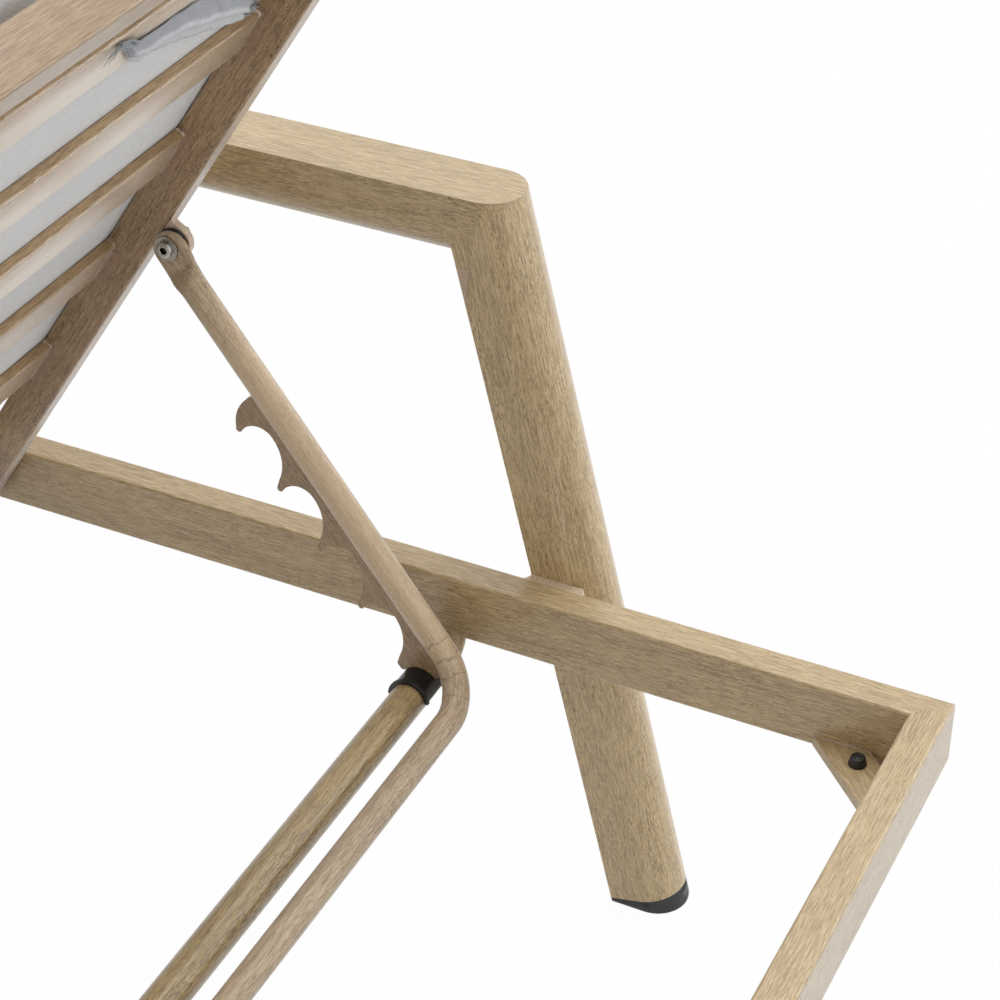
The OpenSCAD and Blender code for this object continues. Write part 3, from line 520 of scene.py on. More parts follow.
# A mesh whose faces all look outwards
def outwardMesh(name, points, faces):
    mesh = bpy.data.meshes.new(name)
    mesh.from_pydata(points, [], faces)
    bm = bmesh.new()
    bm.from_mesh(mesh)
    bmesh.ops.recalc_face_normals(bm, faces=bm.faces)
    bm.to_mesh(mesh)
    bm.free()
    return mesh


# Faces between rings of points, from the point numbered first, with both ends capped unless closed
def ringFaces(first, rings, around, closed=False):
    faces = []
    for i in range(rings if closed else rings - 1):
        r, q = first + i * around, first + (i + 1) % rings * around
        for k in range(around):
            k2 = (k + 1) % around
            faces.append((r + k, q + k, q + k2, r + k2))
    if not closed:
        last = first + (rings - 1) * around
        faces.append(tuple(range(first, first + around)))
        faces.append(tuple(reversed(range(last, last + around))))
    return faces


def weaveFromPoints(mesh, uv):
    layer = mesh.uv_layers.new(name="weave")
    for loop in mesh.loops:
        layer.data[loop.index].uv = uv[loop.vertex_index]


def newPiece(name, mesh, material, body, smoothAngle=35):
    mesh.materials.clear()
    mesh.materials.append(material)
    mesh.shade_smooth()
    mesh.set_sharp_from_angle(angle=math.radians(smoothAngle))
    piece = linked(name, mesh)
    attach(piece, body)
    return piece


# A copy of a CAD node with its outer edges broken
def softened(nodeName, body, radius, test=None):
    bm = bmesh.new()
    bm.from_mesh(nodes[nodeName].data)
    bmesh.ops.remove_doubles(bm, verts=bm.verts, dist=edgeLook["merge"])
    bmesh.ops.dissolve_limit(bm, angle_limit=math.radians(edgeLook["flat"]), verts=bm.verts, edges=bm.edges)
    sharp = math.radians(edgeLook["sharp"])
    edges = []
    for edge in bm.edges:
        if len(edge.link_faces) == 2 and edge.is_convex and edge.calc_face_angle(0) > sharp:
            if test is None or test((edge.verts[0].co + edge.verts[1].co) / 2):
                edges.append(edge)
    bmesh.ops.bevel(bm, geom=edges, offset=radius, offset_type="OFFSET", segments=edgeLook["segments"],
                    profile=0.5, affect="EDGES", clamp_overlap=True)
    mesh = bpy.data.meshes.new(nodeName + "Edged")
    bm.to_mesh(mesh)
    bm.free()
    piece = newPiece(nodeName + "_edged", mesh, nodeLook[nodeName], body)
    weighted = piece.modifiers.new("weighted", "WEIGHTED_NORMAL")
    weighted.keep_sharp = True
    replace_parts(piece, nodeName)


# Radii of the broken edges, and in degrees what counts as flat and as sharp
edgeLook = {"plate": 0.0009, "comb": 0.0008, "cap": 0.0022, "sleeve": 0.0005, "merge": 1e-6, "flat": 0.3,
            "sharp": 38, "segments": 3}
for side in ("left", "right"):
    softened("gusset_" + side, "frame", edgeLook["plate"])
    softened("comb_" + side, "support_bail", edgeLook["comb"])
    softened("lug_" + side, "backrest", edgeLook["plate"])
    softened("crossbar_sleeve_" + side, "frame", edgeLook["sleeve"])
for row in ("rear", "middle", "front"):
    softened(row + "_foot_caps", "frame", edgeLook["cap"], test=lambda at: at.z < 0.001)
print("stage: edged copies")

# The inner corner between each arm and its legs, cast full at a small radius
cornerLook = {"radius": 0.020, "into": 0.014, "below": 0.002, "above": 0.004, "inset": 0.00005, "steps": 14}


def cornerMesh(name, mirrored):
    c = cornerLook
    s = math.radians(place["legSlant"])
    level = place["armTop"] - place["profile"] / 2
    r = c["radius"]
    kx = place["rearLeg"] - (level - place["railTop"]) * math.tan(s)
    start = kx - r / math.tan(math.radians((90 + place["legSlant"]) / 2))
    outline = [(start, level)]
    for i in range(1, c["steps"] + 1):
        a = (math.pi / 2 - s) * i / c["steps"]
        outline.append((start + r * math.sin(a), level - r + r * math.cos(a)))
    foot = place["armTop"] - place["profile"] - c["below"]
    footX = place["rearLeg"] - (foot - place["railTop"]) * math.tan(s)
    deep, high = footX + c["into"], level + c["above"]
    outline += [(footX, foot), (deep, foot), (deep, high), (start, high)]
    points, faces = [], []
    for sign in (1, -1):
        faces += ringFaces(len(points), 2, len(outline))
        for y in (place["legInner"] + c["inset"], place["legInner"] + place["profile"] - c["inset"]):
            points += [(2 * place["armMiddle"] - x if mirrored else x, sign * y, z) for x, z in outline]
    return outwardMesh(name, points, faces)


newPiece("rear_arm_corners", cornerMesh("rearCorners", False), woodRearLeg, "frame")
newPiece("middle_arm_corners", cornerMesh("middleCorners", True), woodMiddleLeg, "frame")
print("stage: arm corners")

# The bail's tube: one bent tube whose ends are pressed flat round the pivots
bailLook = {
    "long": 0.386, "bend": 0.038, "radius": 0.010, "nose": 0.0105, "tabHalf": 0.0145, "tabThick": 0.0048,
    "square": 0.38, "crease": 0.0188, "creaseHalf": 0.0136, "creaseLean": -0.12, "creaseShift": -0.0017,
    "round": 0.035, "ring": 36, "noseSteps": 8, "flatSteps": 6, "blendSteps": 8, "straightSteps": 12,
    "bendSteps": 22, "wrinkle": 0.00035, "wrinkles": 9,
}


def smoothShare(share):
    return share * share * (3 - 2 * share)


# A point of the flat end's section, squared off
def tabPoint(a, half):
    c, s = (math.copysign(abs(one) ** bailLook["square"], one) for one in (math.cos(a), math.sin(a)))
    return c * bailLook["tabThick"] / 2, s * half


def bailStations():
    b = bailLook
    centre, half = b["tabHalf"] - b["nose"], b["tabHalf"]
    straight = b["long"] - b["bend"]

    def shares(count):
        return [i / count for i in range(1, count + 1)]

    angles = [math.radians(2 + 88 * share) for share in [0] + shares(b["noseSteps"])]
    stations = [("tab", centre - half * math.cos(a), half * math.sin(a)) for a in angles]
    stations += [("tab", centre + (b["crease"] - centre) * share, half + (b["creaseHalf"] - half) * share)
                 for share in shares(b["flatSteps"])]
    stations += [("blend", b["crease"] + (b["round"] - b["crease"]) * share, share)
                 for share in shares(b["blendSteps"])]
    stations += [("tube", b["round"] + (straight - b["round"]) * share, 0)
                 for share in shares(b["straightSteps"])]
    stations += [("bend", 90 * share, 0) for share in shares(b["bendSteps"])]
    return stations + [("cross", share, 0) for share in shares(b["straightSteps"])]


# Half of the tube as rings of points, each with its place along the grain
def bailRings():
    b = bailLook
    tubeY, toTab = place["tubeY"], place["tabY"] - place["tubeY"]
    rings = []
    length, last = 0.0, None
    for kind, value, extra in bailStations():
        phi = 0.0
        centre = (value, tubeY)
        if kind == "bend":
            phi = math.radians(value)
            centre = (b["long"] - b["bend"] * (1 - math.sin(phi)), tubeY - b["bend"] * (1 - math.cos(phi)))
        elif kind == "cross":
            phi = math.pi / 2
            centre = (b["long"], (tubeY - b["bend"]) * (1 - value))
        if last:
            length += math.dist(centre, last)
        last = centre
        ring = []
        for k in range(b["ring"]):
            a = 2 * math.pi * k / b["ring"]
            out, up = math.cos(a) * b["radius"], math.sin(a) * b["radius"]
            lean = offset = 0.0
            if kind == "tab":
                out, up = tabPoint(a, extra)
                offset = toTab
                towards = max(0.0, value / b["crease"]) ** 2
                lean = b["creaseLean"] * up * towards
                up += b["creaseShift"] * towards
            elif kind == "blend":
                flatOut, flatUp = tabPoint(a, b["creaseHalf"])
                share, soft = extra * (2 - extra), smoothShare(extra)
                out = flatOut + (out - flatOut) * share
                up = flatUp + (up - flatUp) * (0.4 * share + 0.6 * soft) + b["creaseShift"] * (1 - soft)
                offset = toTab * (1 - share)
                lean = b["creaseLean"] * flatUp * (1 - extra)
            elif kind == "bend":
                fade = math.sin(phi * 2) ** 2 if value < 90 else 0.0
                ripple = math.sin(b["wrinkles"] * 2 * phi) * max(0.0, -math.cos(a)) ** 2
                out += b["wrinkle"] * fade * ripple
            x = centre[0] + (out + offset) * math.sin(phi) + lean * math.cos(phi)
            y = centre[1] + (out + offset) * math.cos(phi) - lean * math.sin(phi)
            ring.append((x, y, up, (length + lean, out, up)))
        rings.append(ring)
    return rings


def buildBail():
    rings = bailRings()
    total = rings[-1][0][3][0]
    for ring in rings[-2::-1]:
        rings.append([(x, -y, up, (2 * total - g[0], g[1], g[2])) for x, y, up, g in ring])
    rows = [row for ring in rings for row in ring]
    faces = ringFaces(0, len(rings), bailLook["ring"])
    mesh = outwardMesh("bailTube", [onBail(x, y, up) for x, y, up, g in rows], faces)
    attribute = mesh.attributes.new("grainPlace", "FLOAT_VECTOR", "POINT")
    attribute.data.foreach_set("vector", np.array([row[3] for row in rows], dtype=np.float32).ravel())
    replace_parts(newPiece("bail_tube_bent", mesh, woodBail, "support_bail", 50), "bail_tube")


buildBail()
print("stage: bail tube")

# The pivot bolts: round heads with a hexagon socket, as seen from between the backrest's rails
boltLook = {"headHalf": 0.0061, "headHigh": 0.0038, "round": 0.0018, "socket": 0.0025, "deep": 0.0026,
            "socketEdge": 0.0003, "shank": 0.004, "chamfer": 0.0008, "tip": 0.00005, "around": 48,
            "tabHalf": 0.0025, "gap": 0.0002, "washer": 0.0015}


def boltRings(seat):
    b = boltLook
    n, high, edge = b["around"], b["headHigh"], b["socketEdge"]

    def hexRing(radius, depth):
        angles = [2 * math.pi * k / n % (math.pi / 3) - math.pi / 6 for k in range(n)]
        return [(radius / math.cos(a), depth) for a in angles]

    turned = []
    for i in range(7):
        a = math.pi / 2 * i / 6
        turned.append((b["headHalf"] - b["round"] * (1 - math.sin(a)), high - b["round"] * (1 - math.cos(a))))
    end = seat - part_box("pivot_bolts")[1][1]
    turned += [(b["headHalf"], 0.0), (b["shank"], 0.0), (b["shank"], end + b["chamfer"]),
               (b["shank"] - b["chamfer"], end), (b["tip"], end)]
    socket = [hexRing(b["socket"] * 0.02, high - b["deep"]), hexRing(b["socket"], high - b["deep"]),
              hexRing(b["socket"], high - edge), hexRing(b["socket"] + edge, high)]
    return socket + [[one] * n for one in turned]


def buildBolts():
    seat = place["tabY"] - boltLook["tabHalf"] - boltLook["gap"] - boltLook["washer"]
    rings = boltRings(seat)
    n = boltLook["around"]
    px, pz = place["pivot"]
    points, faces = [], []
    for sign in (1, -1):
        faces += ringFaces(len(points), len(rings), n)
        for ring in rings:
            for k, (radius, out) in enumerate(ring):
                a = 2 * math.pi * k / n
                points.append((px + radius * math.cos(a), sign * (seat - out), pz + radius * math.sin(a)))
    mesh = outwardMesh("pivotBolts", points, faces)
    piece = newPiece("pivot_bolts_turned", mesh, stainless, "backrest", 40)
    mesh.materials.append(socketShade)
    perBolt = len(faces) // 2
    for face in mesh.polygons:
        within = face.index % perBolt
        if within < 2 * n or within == perBolt - 2:
            face.material_index = 1
    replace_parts(piece, "pivot_bolts")


buildBolts()
print("stage: bolts")

# The rubber buffers: low cones with a rounded shoulder and a shallow dish
bufferLook = {"high": 0.0066, "top": 0.80, "round": 0.0012, "dish": 0.0005, "foot": 0.0004, "tip": 0.00005,
              "around": 48}


def buildBuffer(side):
    b = bufferLook
    low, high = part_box("buffer_" + side)
    cx, cy = (low[0] + high[0]) / 2, (low[1] + high[1]) / 2
    foot = (high[0] - low[0]) / 2
    tall = min(b["high"], high[2] - low[2])
    rim = foot * b["top"]
    profile = [(foot, 0.0), (foot, b["foot"])]
    for i in range(6):
        a = math.pi / 2 * i / 5
        profile.append((rim - b["round"] * (1 - math.cos(a)), tall - b["round"] * (1 - math.sin(a))))
    dish, middle = tall - b["dish"], tall - b["dish"] * 0.4
    profile += [(rim * 0.62, tall), (rim * 0.55, dish), (rim * 0.2, dish), (rim * 0.12, middle),
                (b["tip"], middle)]
    points = []
    for radius, up in profile:
        for k in range(b["around"]):
            a = 2 * math.pi * k / b["around"]
            points.append((cx + radius * math.cos(a), cy + radius * math.sin(a), low[2] + up))
    mesh = outwardMesh("buffer", points, ringFaces(0, len(profile), b["around"]))
    piece = newPiece("buffer_" + side + "_turned", mesh, blackRubber, "frame", 40)
    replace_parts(piece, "buffer_" + side)


for side in ("left", "right"):
    buildBuffer(side)
print("stage: buffers")

# Cushions: two panels sewn at half height, filled by the cloth simulation
cushionLook = {
    "thick": 0.052, "edge": 0.030, "lowEdge": 0.008, "seam": 0.005, "cap": 0.022, "frames": 20, "sag": 0.0022,
    "draw": 0.004, "wide": 0.2885, "high": 0.072, "across": (72, 40), "corner": 0.024, "piping": 0.0028,
    "cordAround": 10, "seatLift": 0.0004, "backLift": 0.0002,
}
fillLook = {
    "quality": 5, "mass": 0.25, "tension_stiffness": 18, "compression_stiffness": 12, "shear_stiffness": 6,
    "bending_stiffness": 0.6, "use_pressure": True, "uniform_pressure_force": 4.0, "shrink_min": -0.012,
}
seatPad = {"from": (-0.9665, -0.2865), "to": (0.2335, 0.2865), "base": 0.2950, "voxel": 0.0085}
backPad = {"from": (0.0685, -0.2865), "to": (0.7515, 0.2865), "base": 0.0110, "voxel": 0.0070}


def meshPoints(mesh):
    points = np.empty(len(mesh.vertices) * 3)
    mesh.vertices.foreach_get("co", points)
    return points.reshape(-1, 3)


def padMesh(pad):
    c = cushionLook
    nx, ny = c["across"]
    (x0, y0), (x1, y1) = pad["from"], pad["to"]
    middle = pad["base"] + c["thick"] / 2

    def spread(n, low, high):
        return [low + (high - low) * (1 - math.cos(math.pi * i / n)) / 2 for i in range(n + 1)]

    points = []
    for sign, edge in ((1, c["edge"]), (-1, c["lowEdge"])):
        for x in spread(nx, x0, x1):
            for y in spread(ny, y0, y1):
                full = 1.0
                for share in (min(x - x0, x1 - x) / edge, min(y - y0, y1 - y) / edge):
                    full *= math.sqrt(max(0.0, 1 - (1 - min(1, share)) ** 2))
                draw = 1 - 2 * c["draw"] / (y1 - y0) * math.sin(math.pi * (x - x0) / (x1 - x0))
                height = c["seam"] / 2 + (c["thick"] / 2 - c["seam"] / 2) * full
                points.append((x, y * draw, middle + sign * height))
    m = (nx + 1) * (ny + 1)
    faces = []
    for i in range(nx):
        for j in range(ny):
            a, b = i * (ny + 1) + j, (i + 1) * (ny + 1) + j
            faces.append((a, b, b + 1, a + 1))
            faces.append((m + a, m + a + 1, m + b + 1, m + b))
    rim = [i * (ny + 1) for i in range(nx + 1)] + [nx * (ny + 1) + j for j in range(1, ny + 1)]
    rim += [i * (ny + 1) + ny for i in reversed(range(nx))] + [j for j in reversed(range(1, ny))]
    for a, b in zip(rim, rim[1:] + rim[:1]):
        faces.append((b, a, m + a, m + b))
    mesh = bpy.data.meshes.new("pad")
    mesh.from_pydata(points, [], faces)
    return mesh, middle


# The panels' shape after the cloth simulation, given the points at rest and those on the seam
def swollenPoints(piece, rest, seam):
    c = cushionLook
    group = piece.vertex_groups.new(name="seam")
    group.add([int(i) for i in np.nonzero(seam)[0]], 1.0, "REPLACE")
    cloth = piece.modifiers.new("fill", "CLOTH")
    for name, value in fillLook.items():
        setattr(cloth.settings, name, value)
    cloth.settings.effector_weights.gravity = 0
    cloth.settings.vertex_group_mass = "seam"
    cloth.point_cache.frame_start = 1
    cloth.point_cache.frame_end = c["frames"]
    scene = bpy.context.scene
    for step in range(1, c["frames"] + 1):
        scene.frame_set(step)
    swollen = evaluatedMesh(piece)
    piece.modifiers.clear()
    scene.frame_set(1)
    shift = meshPoints(swollen) - rest
    reach = np.linalg.norm(shift, axis=1)
    print("stage:", piece.name, "swells by", round(float(reach.max()) * 1000, 1), "mm at most")
    limit = np.where(reach > c["cap"], c["cap"] / np.maximum(reach, 1e-9), 1.0)
    return rest + shift * limit[:, None]


def filled(name, pad, floorAt):
    c = cushionLook
    mesh, middle = padMesh(pad)
    piece = linked(name, mesh)
    voxels = piece.modifiers.new("voxels", "REMESH")
    voxels.mode = "VOXEL"
    voxels.voxel_size = pad["voxel"] * 1
    remeshed = evaluatedMesh(piece)
    piece.modifiers.clear()
    piece.data = remeshed
    now = meshPoints(remeshed)
    (x0, y0), (x1, y1) = pad["from"], pad["to"]
    toEdge = np.minimum(np.minimum(now[:, 0] - x0, x1 - now[:, 0]),
                        np.minimum(now[:, 1] - y0, y1 - now[:, 1]) - c["draw"])
    seam = (np.abs(now[:, 2] - middle) < pad["voxel"] * 0.9) & (toEdge < pad["voxel"] * 1.2)
    now = swollenPoints(piece, now, seam)
    now[:, 2] = np.maximum(now[:, 2], floorAt(now[:, 0], now[:, 1]))
    now[:, 1] = np.clip(now[:, 1], -c["wide"], c["wide"])
    top = pad["base"] + c["high"]
    now[:, 2] = np.where(now[:, 2] > top, top + (now[:, 2] - top) * 0.25, now[:, 2])
    piece.data.vertices.foreach_set("co", now.ravel())
    piece.data.update()
    finer = piece.modifiers.new("finer", "SUBSURF")
    finer.levels = 1
    finer.render_levels = finer.levels
    mesh = evaluatedMesh(piece)
    bpy.data.objects.remove(piece)
    return mesh, middle


# The back cushion's lower panel: flat inside the inner width, square out to the outer one
pressLook = {"inner": 0.200, "outer": 0.2888, "power": 12.0, "bins": 90, "margin": 0.05, "ends": 0.012,
             "fade": 0.03}


# Presses the lower panel flat onto the rails and its edge square, as the weight does
def pressed(mesh, pad, middle, floorAt):
    p = pressLook
    inner, outer, power, bins = p["inner"], p["outer"], p["power"], p["bins"]
    at = meshPoints(mesh)
    x, side, z = at[:, 0].copy(), np.abs(at[:, 1]), at[:, 2].copy()
    x0, x1 = pad["from"][0], pad["to"][0]
    within = np.clip(((x - x0) / (x1 - x0) * bins).astype(int), 0, bins - 1)
    rim = np.full(bins, inner)
    np.maximum.at(rim, within, side)
    centres = x0 + (np.arange(bins) + 0.5) * (x1 - x0) / bins
    widest = np.maximum(np.interp(x, centres, rim), inner + p["margin"])
    flat = place["backFront"] + cushionLook["backLift"]
    u = np.clip((side - inner) / (widest - inner), 0, 1)
    v = np.clip((middle - z) / (middle - flat), 0, None)
    turn = np.arctan2(v, np.maximum(u, 1e-9))
    c, s = np.cos(turn), np.sin(turn)
    blunt = (c ** power + s ** power) ** (1 / power)
    u, v = c / blunt, s / blunt
    reach = widest + (outer - widest) * smoothShare(np.clip(v / 0.5, 0, 1))
    newSide = np.minimum(inner + u * (reach - inner), outer)
    newZ = middle - v * (middle - floorAt(x, newSide))
    inEnds = np.clip((np.minimum(x - x0, x1 - x) - p["ends"]) / p["fade"], 0, 1)
    share = np.clip((side - inner) / p["fade"], 0, 1) * (z < middle) * inEnds
    at[:, 1] = np.sign(at[:, 1]) * (side + (newSide - side) * share)
    at[:, 2] = z + (newZ - z) * share
    mesh.vertices.foreach_set("co", at.ravel())
    mesh.update()


# The weave's place: each face takes the two axes that it faces least
def weaveMap(mesh):
    index = np.empty(len(mesh.loops), dtype=np.int64)
    mesh.loops.foreach_get("vertex_index", index)
    at = meshPoints(mesh)[index]
    normals = np.empty(len(mesh.polygons) * 3)
    mesh.polygons.foreach_get("normal", normals)
    sizes = np.empty(len(mesh.polygons), dtype=np.int64)
    mesh.polygons.foreach_get("loop_total", sizes)
    facing = np.repeat(np.argmax(np.abs(normals.reshape(-1, 3)) * np.array([0.8, 0.8, 1.0]), axis=1), sizes)
    uv = at[:, [1, 0]]
    for axis, pair in ((0, [1, 2]), (1, [2, 0])):
        uv[facing == axis] = at[facing == axis][:, pair]
    mesh.uv_layers.new(name="weave").data.foreach_set("uv", uv.astype(np.float32).ravel())


# The filled cushion's widest line, which the sewn-in cord follows
def pipingLine(pad, mesh, middle):
    tree = BVHTree.FromPolygons([v.co for v in mesh.vertices], [p.vertices for p in mesh.polygons])
    (x0, y0), (x1, y1) = pad["from"], pad["to"]
    corner = cushionLook["corner"]
    path = []
    for cx, cy, start in ((x1 - corner, y1 - corner, 0), (x0 + corner, y1 - corner, 90),
                          (x0 + corner, y0 + corner, 180), (x1 - corner, y0 + corner, 270)):
        for i in range(9):
            a = math.radians(start + 90 * i / 8)
            path.append(Vector((cx + corner * math.cos(a), cy + corner * math.sin(a), middle)))
    line = []
    for a, b in zip(path, path[1:] + path[:1]):
        steps = max(1, round((b - a).length / 0.006))
        for k in range(steps):
            p = a.lerp(b, k / steps)
            outward = Vector((p.x - (x0 + x1) / 2, p.y - (y0 + y1) / 2, 0))
            if min(abs(p.x - x0), abs(p.x - x1)) < 0.001:
                outward.y = 0
            elif min(abs(p.y - y0), abs(p.y - y1)) < 0.001:
                outward.x = 0
            outward.normalize()
            hit = tree.ray_cast(p + outward * 0.05, -outward, 0.09)[0]
            line.append((hit or p) - outward * 0.0006)
    around = line[-2:] + line + line[:2]
    return [sum(around[i:i + 5], Vector((0, 0, 0))) / 5 for i in range(len(line))]


def pipingMesh(pad, mesh, middle):
    line = pipingLine(pad, mesh, middle)
    n, around, thick = len(line), cushionLook["cordAround"], cushionLook["piping"]
    points, uv = [], []
    length = 0.0
    for i in range(n):
        side = (line[(i + 1) % n] - line[i - 1]).normalized().cross(Vector((0, 0, 1))).normalized()
        if i:
            length += (line[i] - line[i - 1]).length
        for k in range(around):
            a = 2 * math.pi * k / around
            points.append(line[i] + (side * math.cos(a) + Vector((0, 0, math.sin(a)))) * thick)
            uv.append((a * thick, length))
    cord = outwardMesh("piping", points, ringFaces(0, n, around, closed=True))
    weaveFromPoints(cord, uv)
    return cord


# The slats' upper face, and between them the line to which the lower panel sags
def slatFloor(first, pitch, count, height):
    def floorAt(x, y):
        nearest = np.full_like(x, 1.0)
        for i in range(count):
            nearest = np.minimum(nearest, np.abs(x - (first + i * pitch)) - place["slatWide"] / 2)
        share = smoothShare(np.clip(nearest / 0.014, 0, 1))
        inside = smoothShare(np.clip((place["backInner"] - 0.004 - np.abs(y)) / 0.016, 0, 1))
        return height - cushionLook["sag"] * share * inside
    return floorAt


seatFloor = slatFloor(place["seatSlatFirst"], -place["seatSlatPitch"], place["seatSlats"],
                      place["slatTop"] + cushionLook["seatLift"])
backFloor = slatFloor(place["slatFirst"], place["slatPitch"], place["backSlats"],
                      place["backFront"] + cushionLook["backLift"])
for name, pad, floorAt, body in (("seat_cushion", seatPad, seatFloor, "frame"),
                                 ("back_cushion", backPad, backFloor, "backrest")):
    mesh, middle = filled(name + "_raw", pad, floorAt)
    if body == "backrest":
        pressed(mesh, pad, middle, floorAt)
    weaveMap(mesh)
    cord = pipingMesh(pad, mesh, middle)
    if body == "backrest":
        for vertex in list(mesh.vertices) + list(cord.vertices):
            vertex.co = onBackrest(*vertex.co)
    cushion = newPiece(name + "_filled", mesh, cushionCloth, body, 80)
    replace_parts(cushion, name)
    newPiece(name + "_piping", cord, pipingCloth, body, 80)
print("stage: cushions")

# The loose tie strap over the uppermost slat's rear: its edges on the backrest, as (y, upper x, lower x)
strapLook = {
    "edges": [(0.0195, 0.6450, 0.6405), (0.0340, 0.6405, 0.6290), (0.0460, 0.6330, 0.6150),
              (0.0600, 0.6300, 0.6060), (0.0750, 0.6290, 0.6035), (0.1090, 0.6280, 0.5925),
              (0.1500, 0.6130, 0.5765), (0.1900, 0.5950, 0.5590), (0.2180, 0.5800, 0.5475)],
    "flat": (0.030, 0.208), "mesh": (110, 18), "thick": 0.0009, "rest": 0.0012, "fold": 0.0030,
    "gather": 0.0014, "crumple": 0.0016, "threads": 40, "threadSteps": 6, "threadHalf": 0.00035,
}


def strapPoint(s, t):
    at, uppers, lowers = zip(*strapLook["edges"])
    py = at[0] + (at[-1] - at[0]) * s
    upper, lower = float(np.interp(py, at, uppers)), float(np.interp(py, at, lowers))
    px = upper + (lower - upper) * t
    py += 0.010 * (t - 0.5) * min(1.0, max(0.0, s))
    fold = strapLook["fold"] * math.exp(-((t - 0.55) / 0.13) ** 2) * min(1.0, max(0.0, s) / 0.12)
    gathered = abs(math.sin(t * math.pi * 3 + s * 9)) * math.exp(-((s - 0.12) / 0.10) ** 2)
    ruffle = strapLook["crumple"] * abs(noise.noise(Vector((s * 9, t * 3.4, 1.7))))
    return px, py, strapLook["rest"] - (fold + strapLook["gather"] * gathered + ruffle)


def strapMesh():
    rows, across = strapLook["mesh"]
    wide, long = strapLook["flat"]
    points, faces, uv = [], [], []
    for i in range(rows + 1):
        for j in range(across + 1):
            s, t = i / rows, j / across
            ragged = 0.0
            if i == 0:
                ragged = 0.02 * noise.noise(Vector((t * 9, 0.3, 0)))
            elif i >= rows - 1:
                ragged = 0.05 * noise.noise(Vector((t * 6, 4.3, 0))) * (i - rows + 2) / 2
            points.append(onBackrest(*strapPoint(s + ragged, t)))
            uv.append((t * wide, s * long))
            if i < rows and j < across:
                a, b = i * (across + 1) + j, (i + 1) * (across + 1) + j
                faces.append((a, a + 1, b + 1, b))
    mesh = bpy.data.meshes.new("strap")
    mesh.from_pydata(points, [], faces)
    weaveFromPoints(mesh, uv)
    return mesh


# Loose threads at both cut ends
def frayMesh():
    rng = random.Random(4)
    steps, half = strapLook["threadSteps"], strapLook["threadHalf"]
    points, faces, uv = [], [], []
    for i in range(strapLook["threads"]):
        atEnd = i % 4 > 0
        t = rng.random()
        out = (1 if atEnd else -1) * (0.004 + 0.010 * rng.random())
        turn = (rng.random() - 0.62) * 0.016
        drop = 0.0004 + 0.002 * rng.random()
        bx, by, bz = strapPoint(1.0 if atEnd else 0.0, t)
        faces += ringFaces(len(points), steps, 4)
        for k in range(steps):
            share = k / (steps - 1)
            low = min(strapLook["rest"], bz - drop * share)
            at = onBackrest(bx + turn * share * share, by + out * share, low)
            thin = half * (1 - 0.5 * share)
            for a in range(4):
                angle = a * math.pi / 2
                points.append(at + Vector((math.cos(angle) * thin, 0, math.sin(angle) * thin)))
                uv.append((0.02 + a * 0.0004, k * 0.002))
    mesh = outwardMesh("fray", points, faces)
    weaveFromPoints(mesh, uv)
    return mesh


strap = newPiece("tie_strap", strapMesh(), strapCloth, "backrest", 60)
thicker = strap.modifiers.new("thicker", "SOLIDIFY")
thicker.thickness = strapLook["thick"]
thicker.offset = 0
fray = newPiece("tie_strap_fray", frayMesh(), strapCloth, "backrest", 60)
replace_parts(strap, "cushion_strap")
print("stage: strap")

# Weld beads: a rippled fillet along each welded seam; its width is the bead's radius
weldLook = {"Ripple": 0.26, "Step": 0.0016, "Seed": 7}
weldWidth = {"back": 0.0020, "frame": 0.0013, "corner": 0.0032, "bail": 0.0011}


def weldTree():
    tree = bpy.data.node_groups.new("weldBeads", "GeometryNodeTree")
    for label, kind in (("Geometry", "Geometry"), ("Bead Width", "Float"), ("Ripple", "Float"),
                        ("Step", "Float"), ("Seed", "Int"), ("Finish", "Material")):
        tree.interface.new_socket(name=label, in_out="INPUT", socket_type="NodeSocket" + kind)
    tree.interface.new_socket(name="Geometry", in_out="OUTPUT", socket_type="NodeSocketGeometry")
    given, out = addNode(tree, "NodeGroupInput").outputs, addNode(tree, "NodeGroupOutput")
    lines = addNode(tree, "GeometryNodeMeshToCurve", given["Geometry"])
    even = fillInputs(addNode(tree, "GeometryNodeResampleCurve", mode="LENGTH"),
                      {"Curve": lines.outputs[0], "Length": given["Step"]})
    ripple = given["Ripple"]
    chance = fillInputs(addNode(tree, "FunctionNodeRandomValue", data_type="FLOAT"),
                        {2: minus(1.0, ripple), 3: plus(1.0, ripple), "Seed": given["Seed"]})
    turn = times(addNode(tree, "GeometryNodeInputIndex").outputs[0], 2.2)
    wave = plus(1.0, times(mathNode("SINE", turn), times(ripple, 0.6)))
    ring = fillInputs(addNode(tree, "GeometryNodeCurvePrimitiveCircle", mode="RADIUS"),
                      {"Resolution": 10, "Radius": given["Bead Width"]})
    bead = fillInputs(addNode(tree, "GeometryNodeCurveToMesh"),
                      {"Curve": even.outputs[0], "Profile Curve": ring.outputs[0], "Fill Caps": True,
                       "Scale": times(wave, chance.outputs[1])})
    real = addNode(tree, "GeometryNodeRealizeInstances", bead.outputs[0])
    smooth = addNode(tree, "GeometryNodeSetShadeSmooth", real.outputs[0])
    finish = fillInputs(addNode(tree, "GeometryNodeSetMaterial"),
                        {"Geometry": smooth.outputs[0], "Material": given["Finish"]})
    setInput(out, 0, finish.outputs[0])
    return tree


weldGroup = weldTree()


